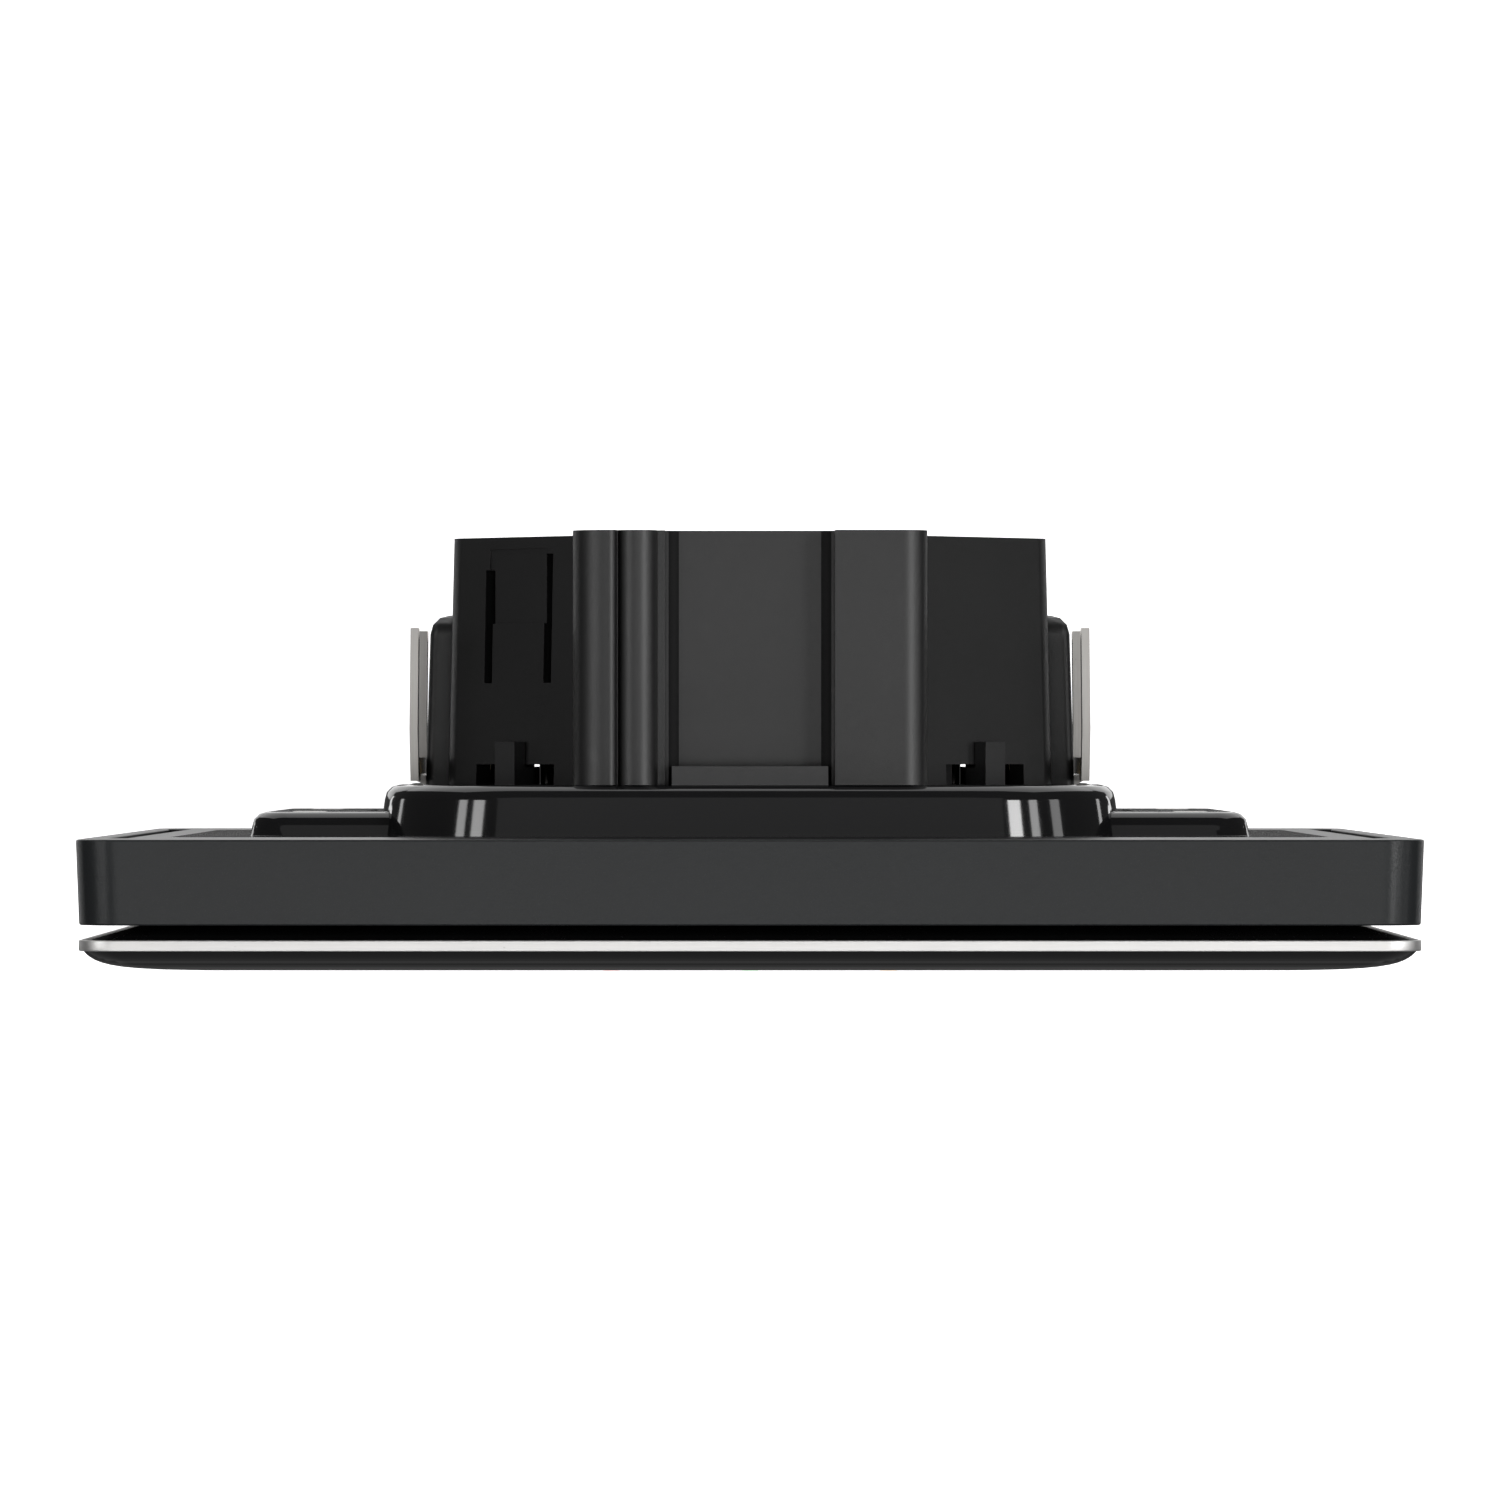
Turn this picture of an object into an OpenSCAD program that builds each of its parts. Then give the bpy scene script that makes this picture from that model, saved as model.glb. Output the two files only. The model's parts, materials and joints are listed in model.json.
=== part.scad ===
// Flush alarm keypad panel: a touch-glass cover and a square frame in front of the wall, and a
// carrier with the electronics housing that sits in a round wall box, held by screws or claws.
// The origin is the middle of the wall plane: +Z is up, -Y faces the room, +Y goes into the wall.

/* [Surround frame] */
// Width and height of the frame at its front
plate_w = 86; // [80:0.5:110]
// Depth of the frame, from the wall to its front face
frame_depth = 5.5; // [5:0.1:8]
// How much wider the frame is at the wall than at its front
frame_flare = 0.4; // [0:0.1:1]
// Corner radius of the frame
frame_corner = 2.8; // [1.6:0.1:6]
// Side of the square opening in the frame's front
frame_opening = 71; // [69:0.5:73]
// Thickness of the frame's rear wall, which is also the carrier plate's
plate_t = 1.5; // [1.2:0.1:2]
// Width of the grooves along the frame's rear face
groove_w = 1.6; // [0.8:0.1:2]
// Length of those grooves
groove_len = 70; // [40:1:74]

/* [Front cover] */
// Width of the open gap between the frame and the cover
cover_gap = 0.95; // [0.6:0.05:2]
// Height of the metal rim's edge
rim_h = 0.7; // [0.6:0.05:1.2]
// Thickness of the rim beside the glass
rim_lip = 0.25; // [0.25:0.05:0.8]
// How far the rim reaches in behind the glass
rim_seat = 1.3; // [0.8:0.1:2]
// Height of the glass dome in front of the rim
dome_h = 1.65; // [0.8:0.05:3]
// Thickness of the glass at its edge
glass_edge_t = 0.3; // [0.2:0.05:0.5]
// Side of the square tray behind the glass
tray_w = 69.6; // [66:0.2:72]
// Thickness of the tray's walls
tray_wall = 1; // [0.8:0.1:1.4]
// Thickness of the light guide
guide_t = 1.2; // [1:0.1:1.6]
// Thickness of the touch board
touch_board_t = 1; // [0.8:0.1:1.2]
// Rows and columns of keys
key_rows = 4; // [3:1:5]
key_cols = 3; // [3:1:4]
// Distance between key centres across and up
key_pitch_x = 19; // [14:0.5:20]
key_pitch_z = 14.5; // [10:0.5:15]

/* [Carrier] */
// Width of the carrier plate
carrier_w = 76; // [74:0.5:79]
// How far the carrier plate reaches past the platform, up and down
carrier_up = 2.6; // [2:0.1:6]
// Width, height and thickness of the raised ears
ear_w = 66.4; // [66:0.2:70]
ear_h = 38; // [34:0.5:44]
ear_t = 1.6; // [1.2:0.1:2.2]
// Height of the platform that the housing stands on
platform_t = 3.4; // [3.2:0.1:4.5]
// How far the platform reaches past the housing's flats, to the sides and up
platform_side = 4.4; // [4.2:0.1:6]
platform_up = 5.4; // [5.2:0.1:7]
// Distance between the wall box's two screws
box_pitch = 60.3; // [60:0.1:61]
// Radius of the holes for them
box_hole_r = 2.05; // [1.6:0.05:2.3]

/* [Rear housing] */
// Width of the housing across its flats, at the rear
housing_w = 40; // [38:0.5:41]
// Distance from the wall plane to the housing's rear face
housing_rear = 20; // [19:0.5:30]
// How much the housing's half width grows towards its base
housing_draft = 0.4; // [0:0.1:0.8]
// Wall thickness of the housing
housing_wall = 1.3; // [1:0.1:1.5]
// How far the two columns stand out past the housing's upper flat
column_out = 4.7; // [4:0.1:5]
// How far the columns' rear faces stand past the housing's
column_step = 0.2; // [0:0.05:0.6]
// Half width of the two columns together, and of the recess between them
column_half = 11.7; // [11:0.1:12]
recess_half = 5.6; // [4:0.1:6]
// Width of the side pods' rear past the housing's flats
pod_out = 1.7; // [1.5:0.1:1.9]
// Height of the pods, along the wall
pod_h = 12; // [11:0.5:13]
// Distance from the wall plane to the pods' rear
pod_rear = 14.85; // [14:0.1:16]

/* [Claws] */
// Thickness of the claws' sheet steel
claw_t = 0.55; // [0.4:0.05:0.7]
// Distance from the housing's flat to the claw's outer face
claw_out = 2.9; // [2.8:0.05:3.2]
// Distance from the wall plane to the claws' tips
claw_tip = 13.95; // [12:0.1:16]
// Width across both legs of a claw, and of one leg
claw_span = 19.2; // [18:0.2:20]
claw_leg_w = 2.2; // [1.6:0.1:2.6]
// Radius of the claw screws' thread
claw_screw_r = 1.25; // [1:0.05:1.4]
// Radius of the pivot pins
pin_r = 0.6; // [0.5:0.05:0.7]

/* [Bus plug] */
// Number of wires
poles = 4; // [2:1:4]
// Distance between two wires
pole_pitch = 3.81; // [3.5:0.01:4]
// Height and length of the plug
plug_h = 7.6; // [7:0.1:8]
plug_len = 9.05; // [8:0.05:9.3]

/* [Tamper switch] */
// Side of the switch body
switch_w = 5; // [4:0.1:6]
// Radius of the plunger
plunger_r = 1; // [0.8:0.05:1.2]
// How far the plunger can still be pushed in
plunger_travel = 0.5; // [0.3:0.05:0.7]

/* [Fits] */
// Gap beside a piece that drops into another
fit = 0.2; // [0.1:0.05:0.3]
// Gap around a running shaft
run = 0.05; // [0.03:0.01:0.08]

/* [Hidden] */
$fn = 48;
soft_fn = 32;
thin = 0.01;
past = 1;

// Depths along Y, from the cover's front to the housing's rear
cover_rear = -frame_depth - cover_gap;
rim_front = cover_rear - rim_h;
glass_rear = rim_front + glass_edge_t;
tape_t = 0.2;
tray_front = glass_rear + tape_t;
guide_rear = glass_rear + guide_t;
touch_rear = guide_rear + touch_board_t;
chip_t = 0.75;
tray_floor = touch_rear + chip_t + 2 * run;
tray_rear = tray_floor + tray_wall;
slope_rear = -frame_depth - run;
board_t = 1.6;
post_len = 2.6;
board_front = platform_t + post_len;
board_rear = board_front + board_t;
column_rear = housing_rear + column_step;

// The cover
rim_corner = 2.35;
rim_hole_w = plate_w - 2 * rim_seat;
rim_hole_corner = rim_corner - rim_seat / 2;
glass_w = plate_w - 2 * rim_lip - 2 * run;
dome_soft = 1.2;
dome_rings = [0.15, 0.4, 0.8, 1.6, 3, 6, 12, 22];
dome_corner = 0.5;
slope_w = plate_w - 1.4;
slope_foot_w = plate_w - 8;
cavity_w = tray_w - 2 * tray_wall - 1;
tape_hole_w = cavity_w + 4;
guide_w = cavity_w - 2 * fit;
key_window = [3.2, 1.8];
led_size = [1.6, 0.8, 0.6];
keys_up = 2;

// The four blades that hold the cover, and the clips that grip them
blade_x = 29.5;
blade_z = 13;
blade_t = 1.2;
blade_w = 5;
blade_tip = 1.2;
clip_t = 0.35;
clip_half = blade_t / 2 + 2 * run + clip_t;

// The link between the two boards
link_pins_n = 5;
link_pitch = 2.54;
link_z = -8;
link_w = [link_pins_n * link_pitch + 1.5, 3.2];
link_pin = 0.64;
link_pin_tip = 1.6;
pin_ease = 0.3;
link_plug_rear = -plate_t - 0.5;
link_socket_front = -plate_t + 0.2;

// The carrier
carrier_corner = 2;
ear_corner = 2.5;
ear_flare = 0.1;
platform_flare = 0.3;
soft_edge = 1;
platform_corner = 10;
platform_w = housing_w + 2 * platform_side;
platform_h = housing_w + 2 * platform_up;
carrier_h = platform_h + 2 * carrier_up;
pocket_h = housing_w + 4;
head_sink_r = 4.2;
head_sink = 1.3;
post_r = 2;
post_spots = [[-12.5, -4], [12.5, -4], [0, 15]];
board_screw_r = 0.9;
board_screw_head_r = 1.75;
board_screw_head_h = 1.2;
board_screw_len = board_t + post_len - fit;
board_screw_slot = 0.4;
slot_depth = 0.6;

// The housing, and what shows on its slanted walls: t runs along a wall, away from the middle
base_w = housing_w + 2 * housing_draft;
column_top = housing_w / 2 + column_out;
column_foot = housing_w / 2 - 8;
lobe_r = 1.35;
lobe_at = 4.27;
valley = 0.9;
side_r = 2.4;
valley_r = lobe_at - lobe_r - side_r;
edge_r = 1.6;
recess_top = housing_w / 2 + 2;
cove_r = 0.9;
window_t = [-1.85, 5.7];
window_h = 1.35;
peg_t = [0.86, 2.75];
peg_top = 6.25;
peg_depth = 1;
hook_depth = 0.8;
tongue_t = [-1.05, 4.7];
tongue_slot_w = 0.75;
tongue_foot = 10.2;
tongue_sunk_from = 14.2;
tongue_top = 19.2;
tongue_sink = 0.1;
slot_short = [0.35, 1.4];
ledge_half = 5.15;
ledge_top = 4.65;
pod_soft = 1.3;
pod_flare = 0.3;
pod_edge = 0.6;

// The claws: each hangs on a pin, its foot plate slopes up to the legs, and its screw pulls a nut
// against that plate. The screw's turn, the nut's slide and the claw's swing follow one another.
pivot = [housing_w / 2 - 3.2, 1.2];
leg_mid = housing_w / 2 + claw_out - claw_t / 2;
foot_end = [leg_mid, 3.9];
foot_len = norm(foot_end - pivot);
foot_angle = atan2(foot_end[1] - pivot[1], foot_end[0] - pivot[0]);
eye_r = pin_r + claw_t;
eye_room = eye_r + 0.3;
eye_half = 4;
foot_half = 5;
foot_neck = eye_room + 0.4;
foot_cut_from = pivot[0] + 2;
claw_bend_y = 7.1;
claw_bend = 0.07;
band_top = 5.2;
tooth = 0.8;
foot_slot = [1.3, 4.75];
foot_slot_w = 3;
claw_screw_x = housing_w / 2 - 0.5;
claw_screw_head_r = 2.4;
claw_screw_head_h = 1.2;
claw_screw_slot = 0.7;
claw_screw_tip = pod_rear - housing_wall - fit;
nose_r = 1.7;
nose_y = 4.72;
nut_rear = 7;
nut_h = 5.6;
nut_room = 0.1;
well_floor = -0.2;
pin_len = 13;

// The bus plug and its bay in the housing's lower side
plug_w = poles * pole_pitch + 0.9;
plug_top_z = -(housing_w / 2 - 8);
plug_front = housing_rear - 0.6 - plug_len;
bay_gap = 0.3;
bay_floor = plug_front - 0.1;
bay_wall = 1.2;
bus_pin = 1;
bus_pin_z = plug_top_z - 2.5;
bus_pin_len = 3.6;
header_w = plug_w - 0.5;
header_h = 3.8;
header_window_h = 3.2;
header_t = 1.4;
wire_r = 1.2;
wire_y = plug_front + 5.2;
clamp_screw_r = 1.3;
clamp_screw_z = bus_pin_z - 1.4;
clamp_screw_front = wire_y + wire_r + fit;
clamp_screw_sink = 0.6;
clamp_screw_slot = 0.5;

// The tamper switch
switch_at = [11.2, 3.5];
switch_front = 2.4;
plunger_tip = tray_rear + run;
plunger_in = 1.2;
plunger_flange_r = 1.8;
plunger_flange_t = 0.5;
plunger_flange = 0.2;
spring_wire_r = 0.15;
spring_r = 1.4;
spring_turns = 3.5;
spring_steps = 14;
spring_sides = 6;

// The other board pieces: centre in x and z, then width, height and thickness
board_ease = 0.8;
board_w = 2 * (claw_screw_x - nose_r - board_ease);
sounder_at = [0, 5];
sounder_r = 7;
sounder_front = 1.5;
sounder_hole_r = 1;
sounder_hole = 1;
chip_at = [-6, 6];
chip_size = [7, 7, 1];
driver_at = [6.5, 8];
driver_size = [5, 4, 1.5];
coil_at = [6.5, 2.6];
coil_size = [5, 5, 3];
coil_corner = 1;
can_spots = [[-6, -4], [6, -4]];
can_r = 3.15;
can_len = 6;
touch_chip_at = [-12, 10];
touch_chip_size = [7, 7];

anthracite = [0.2, 0.21, 0.215];
gloss_black = [0.05, 0.05, 0.055];
matt_black = [0.12, 0.12, 0.125];
steel = [0.78, 0.77, 0.75];
board_green = [0.05, 0.25, 0.14];
chip_black = [0.09, 0.09, 0.1];
brass = [0.8, 0.65, 0.3];

// ---- shapes -------------------------------------------------------------------------------

// An outline drawn in X and Z, from one depth along Y to another
module along_y(from, to) {
    rotate([90, 0, 0])
        translate([0, 0, -to])
            linear_extrude(to - from)
                children();
}

// A profile drawn in X and Y, a height along Z about the middle
module along_z(height) {
    translate([0, 0, -height / 2])
        linear_extrude(height)
            children();
}

// A round rod along Y through [x, z]
module rod(r, from, to, at = [0, 0]) {
    translate([at[0], to, at[1]])
        rotate([90, 0, 0])
            cylinder(r = r, h = to - from);
}

// A box about [x, z], w wide and h high, from one depth to another
module block(w, h, from, to, at = [0, 0]) {
    translate([at[0] - w / 2, from, at[1] - h / 2])
        cube([w, to - from, h]);
}

// A rectangle with round corners
module rounded(w, h, r) {
    square([w - 2 * r, h], center = true);
    square([w, h - 2 * r], center = true);
    for (x = [-1, 1], z = [-1, 1])
        translate([x * (w / 2 - r), z * (h / 2 - r)])
            circle(r);
}

// A slab that widens by flare at its front and has a round edge at its rear
module soft_slab(w, h, r, from, to, edge, flare = 0) {
    hull($fn = soft_fn) {
        along_y(from, from + thin)
            rounded(w + 2 * flare, h + 2 * flare, r, $fn = soft_fn);
        for (a = [0:30:90])
            along_y(to - edge * (1 - sin(a)) - thin, to - edge * (1 - sin(a)))
                rounded(
                    w - 2 * edge * (1 - cos(a)),
                    h - 2 * edge * (1 - cos(a)),
                    max(r - edge * (1 - cos(a)), thin),
                    $fn = soft_fn
                );
    }
}

// An octagon, w across its flats
module octagon(w) {
    intersection() {
        square(w, center = true);
        rotate(45)
            square(w, center = true);
    }
}

// A drafted octagonal block
module octagon_block(w_front, w_rear, from, to) {
    hull() {
        along_y(from, from + thin)
            octagon(w_front);
        along_y(to - thin, to)
            octagon(w_rear);
    }
}

// Places on the slanted walls: X points out of the wall, -Z runs along it away from the middle
module slant(side) {
    mirror([side < 0 ? 1 : 0, 0, 0])
        rotate([0, -45, 0])
            children();
}

module on_slants() {
    for (side = [-1, 1], low = [0, 1])
        mirror([0, 0, low])
            slant(side)
                children();
}

// A box on a slanted wall, from x0 to x1 out of it, t along it
module slant_block(x0, x1, t, from, to) {
    translate([x0, from, -t[1]])
        cube([x1 - x0, to - from, t[1] - t[0]]);
}

module both_sides() {
    children();
    mirror([1, 0, 0])
        children();
}

// ---- surround frame -----------------------------------------------------------------------

module surround_frame() {
    color(anthracite)
        difference() {
            hull() {
                along_y(-thin, 0)
                    rounded(plate_w + frame_flare, plate_w + frame_flare, frame_corner);
                along_y(-frame_depth, -frame_depth + thin)
                    rounded(plate_w, plate_w, frame_corner);
            }
            along_y(-frame_depth - past, -plate_t)
                rounded(frame_opening, frame_opening, rim_corner);
            along_y(-frame_depth, past)
                rounded(
                    min(carrier_w, frame_opening) + 2 * fit,
                    carrier_h + 2 * fit,
                    carrier_corner
                );
            along_y(-plate_t, past)
                rounded(carrier_w + 2 * fit, carrier_h + 2 * fit, carrier_corner);
            both_sides()
                block(
                    groove_w, groove_len, -plate_t, past,
                    [plate_w / 2 - groove_w / 2 - 1, 0]
                );
        }
}

// ---- front cover --------------------------------------------------------------------------

module trim_rim() {
    color(steel)
        difference() {
            along_y(rim_front, cover_rear)
                rounded(plate_w, plate_w, rim_corner);
            along_y(rim_front - past, glass_rear)
                rounded(glass_w + 2 * run, glass_w + 2 * run, rim_corner - rim_lip);
            along_y(rim_front, cover_rear + past)
                rounded(rim_hole_w, rim_hole_w, rim_hole_corner);
        }
}

// The glass rises quickly at its edge and is almost flat in the middle
function dome_rise(inset) = dome_h * inset / (inset + dome_soft);

module cover_glass() {
    glass_corner = rim_corner - rim_lip;
    color(gloss_black)
        hull() {
            along_y(rim_front, glass_rear)
                rounded(glass_w, glass_w, glass_corner);
            for (inset = dome_rings)
                along_y(rim_front - dome_rise(inset), rim_front - dome_rise(inset) + thin)
                    rounded(
                        glass_w - 2 * inset,
                        glass_w - 2 * inset,
                        max(glass_corner - inset / 2, dome_corner),
                        $fn = soft_fn
                    );
        }
}

module glass_tape() {
    color(matt_black)
        difference() {
            along_y(glass_rear, tray_front)
                rounded(rim_hole_w - fit, rim_hole_w - fit, rim_hole_corner);
            along_y(glass_rear - past, tray_front + past)
                square(tape_hole_w, center = true);
        }
}

// Where the keys and their lamps sit, seen from the front
module at_keys() {
    for (i = [0:key_cols - 1], k = [0:key_rows - 1])
        translate([
            (i - (key_cols - 1) / 2) * key_pitch_x,
            0,
            (k - (key_rows - 1) / 2) * key_pitch_z + keys_up
        ])
            children();
}

module cover_back() {
    color(gloss_black) {
        difference() {
            union() {
                along_y(tray_front, cover_rear)
                    rounded(rim_hole_w - fit, rim_hole_w - fit, rim_hole_corner);
                hull() {
                    along_y(cover_rear, cover_rear + thin)
                        rounded(slope_w, slope_w, rim_corner);
                    along_y(slope_rear - thin, slope_rear)
                        rounded(slope_foot_w, slope_foot_w, rim_corner);
                }
                along_y(slope_rear, tray_rear)
                    rounded(tray_w, tray_w, rim_corner);
            }
            along_y(tray_front - past, tray_floor)
                rounded(cavity_w, cavity_w, rim_corner / 2);
            block(
                link_w[0] + 2 * fit, link_w[1] + 2 * fit, tray_floor - past, tray_rear + past,
                [0, link_z]
            );
        }
        for (x = [-1, 1], z = [-1, 1])
            block(blade_t, blade_w, tray_rear, blade_tip, [x * blade_x, z * blade_z]);
    }
}

module light_guide() {
    color([0.85, 0.88, 0.9])
        difference() {
            along_y(glass_rear, guide_rear)
                rounded(guide_w, guide_w, rim_corner / 2);
            at_keys()
                block(key_window[0], key_window[1], glass_rear - past, guide_rear + past);
        }
}

module touch_board() {
    color(board_green)
        along_y(guide_rear, touch_rear)
            rounded(guide_w, guide_w, rim_corner / 2);
}

module touch_chip() {
    color(chip_black)
        block(
            touch_chip_size[0], touch_chip_size[1], touch_rear, touch_rear + chip_t,
            touch_chip_at
        );
}

module key_leds() {
    color("white")
        at_keys()
            block(led_size[0], led_size[1], guide_rear - led_size[2], guide_rear);
}

module at_link_pins() {
    for (i = [0:link_pins_n - 1])
        translate([(i - (link_pins_n - 1) / 2) * link_pitch, 0, link_z])
            children();
}

module link_plug() {
    color(chip_black)
        difference() {
            block(link_w[0], link_w[1], touch_rear, link_plug_rear, [0, link_z]);
            at_link_pins()
                block(link_pin, link_pin, touch_rear - past, link_plug_rear + past);
        }
}

module link_pins() {
    color(brass)
        at_link_pins()
            block(link_pin, link_pin, touch_rear, link_pin_tip);
}

// ---- carrier ------------------------------------------------------------------------------

// The well under a claw: room for its eye, its foot plate and its legs
module claw_well() {
    well_top = platform_t + past;
    wide_from = foot_end[0] - claw_t;
    eye_from = pivot[0] - eye_room;
    eye_to = pivot[0] + eye_room;
    translate([eye_from, well_floor, -eye_half - fit])
        cube([eye_to - eye_from + thin, well_top - well_floor, 2 * (eye_half + fit)]);
    translate([eye_to, well_floor, -foot_half - fit])
        cube([wide_from - eye_to + thin, well_top - well_floor, 2 * (foot_half + fit)]);
    translate([wide_from, well_floor, -claw_span / 2 - 2 * fit])
        cube([claw_out + past, well_top - well_floor, claw_span + 4 * fit]);
}

// The groove that the pivot pin drops into
module pin_groove() {
    seat_r = pin_r + run / 2;
    translate([pivot[0], pivot[1], 0])
        cylinder(r = seat_r, h = pin_len + fit, center = true);
    translate([pivot[0] - seat_r, pivot[1], -(pin_len + fit) / 2])
        cube([2 * seat_r, platform_t, pin_len + fit]);
}

module support_carrier() {
    pocket_w = 2 * (pivot[0] - eye_r - plate_t);
    pocket_floor = platform_t - plate_t;
    color(gloss_black) {
        difference() {
            union() {
                along_y(-plate_t, 0)
                    rounded(carrier_w, carrier_h, carrier_corner);
                soft_slab(ear_w, ear_h, ear_corner, -thin, ear_t, soft_edge, ear_flare);
                soft_slab(
                    platform_w, platform_h, platform_corner, -thin, platform_t, soft_edge,
                    platform_flare
                );
            }
            block(pocket_w, pocket_h, -plate_t - past, pocket_floor);
            rod(sounder_r + fit, pocket_floor - past, platform_t + past, sounder_at);
            block(
                link_w[0] + 2 * fit, link_w[1] + 3 * fit, pocket_floor - past,
                platform_t + past, [0, link_z]
            );
            block(
                switch_w + 2 * fit, switch_w + 2 * fit, pocket_floor - past,
                platform_t + past, switch_at
            );
            both_sides() {
                claw_well();
                pin_groove();
                rod(
                    claw_screw_r + run, -plate_t - past, platform_t + past,
                    [claw_screw_x, 0]
                );
                rod(box_hole_r, -plate_t - past, platform_t + past, [box_pitch / 2, 0]);
                rod(
                    head_sink_r, -plate_t - past, -plate_t + head_sink,
                    [box_pitch / 2, 0]
                );
                for (z = [-1, 1])
                    block(
                        2 * clip_half + fit, blade_w + 2 * fit, -plate_t - past,
                        ear_t + past, [blade_x, z * blade_z]
                    );
            }
        }
        difference() {
            for (spot = post_spots)
                rod(post_r, platform_t, board_front, spot);
            for (spot = post_spots)
                rod(board_screw_r + thin, platform_t, board_front + past, spot);
        }
        on_slants() {
            slant_block(
                base_w / 2 + run, base_w / 2 + run + peg_depth, peg_t, platform_t - thin,
                peg_top
            );
            slant_block(
                base_w / 2 - hook_depth, base_w / 2 + 2 * run, peg_t, platform_t - thin,
                platform_t + window_h - fit
            );
        }
        translate([-ledge_half, platform_t - thin, recess_top + fit])
            cube([
                2 * ledge_half,
                ledge_top - platform_t + thin,
                platform_h / 2 - soft_edge - recess_top - fit
            ]);
    }
}

module claw_pins() {
    color(steel)
        both_sides()
            translate([pivot[0], pivot[1], 0])
                cylinder(r = pin_r, h = pin_len, center = true);
}

module cover_clips() {
    color(steel)
        for (x = [-1, 1], z = [-1, 1])
            difference() {
                block(
                    2 * clip_half, blade_w, -plate_t, ear_t,
                    [x * blade_x, z * blade_z]
                );
                block(
                    2 * (clip_half - clip_t), blade_w + past, -plate_t - past,
                    blade_tip + run, [x * blade_x, z * blade_z]
                );
            }
}

// ---- rear housing -------------------------------------------------------------------------

// The left column's outer lobe: a wide round outside and a tight one down to the valley
module outer_lobe() {
    crest = side_r - column_half;
    intersection() {
        translate([crest, column_top - side_r])
            circle(side_r);
        translate([-column_half, column_top - side_r])
            square(side_r);
    }
    translate([crest, column_top - valley_r])
        circle(valley_r);
    translate([crest, column_foot])
        square([valley_r, column_top - valley_r - column_foot]);
}

// The two columns and the recess between them, seen from the rear
module columns_outline() {
    translate([-column_half, column_foot])
        square([2 * column_half, column_top - side_r - column_foot]);
    outer_lobe();
    translate([lobe_at - column_half, column_top - lobe_r])
        circle(lobe_r);
    translate([side_r - column_half, column_foot])
        square([lobe_at - side_r, column_top - valley - column_foot]);
    translate([lobe_at - column_half, column_foot])
        square([column_half - lobe_at - recess_half, column_top - lobe_r - column_foot]);
    translate([recess_half, column_foot])
        square([column_half - recess_half - edge_r, column_top - column_foot]);
    translate([recess_half + edge_r, column_foot])
        square([column_half - recess_half - edge_r, column_top - edge_r - column_foot]);
    translate([column_half - edge_r, column_top - edge_r])
        circle(edge_r);
}

// What is cut out of that outline: the recess, with round inner corners
module recess_outline() {
    room = column_top - recess_top + past;
    difference() {
        translate([-recess_half, recess_top])
            square([2 * recess_half, room]);
        for (x = [-1, 1])
            difference() {
                translate([x * recess_half - cove_r * (1 + x) / 2, recess_top])
                    square(cove_r);
                translate([x * (recess_half - cove_r), recess_top + cove_r])
                    circle(cove_r);
            }
    }
}

module columns_hollow() {
    wall = housing_wall;
    translate([-column_half + wall, column_foot - past])
        square([
            column_half - recess_half - 2 * wall,
            column_top - side_r - wall - column_foot + past
        ]);
    translate([-column_half + wall, column_foot - past])
        square([2 * (column_half - wall), recess_top - wall - column_foot + past]);
    translate([recess_half + wall, column_foot - past])
        square([
            column_half - recess_half - 2 * wall,
            column_top - wall - column_foot + past
        ]);
}

module tongue_cuts() {
    wall_x = housing_w / 2;
    slot = [-tongue_slot_w / 2, tongue_slot_w / 2];
    deep = 2 * housing_wall;
    slant(-1) {
        slant_block(
            wall_x - deep, wall_x + past, slot + [tongue_t[1], tongue_t[1]],
            tongue_foot, tongue_top - slot_short[1]
        );
        slant_block(
            wall_x - deep, wall_x + past, slot + [tongue_t[0], tongue_t[0]],
            tongue_foot, tongue_top - slot_short[0]
        );
        slant_block(
            wall_x - tongue_sink, wall_x + past, tongue_t, tongue_sunk_from,
            tongue_top
        );
    }
}

// The bay that the bus plug drops into, open to the rear and to the lower side
module bay(grow, from, to) {
    half = plug_w / 2 + bay_gap + grow;
    low = housing_w;
    translate([-half, from, -low])
        cube([2 * half, to - from, low + plug_top_z + bay_gap + grow]);
}

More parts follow.
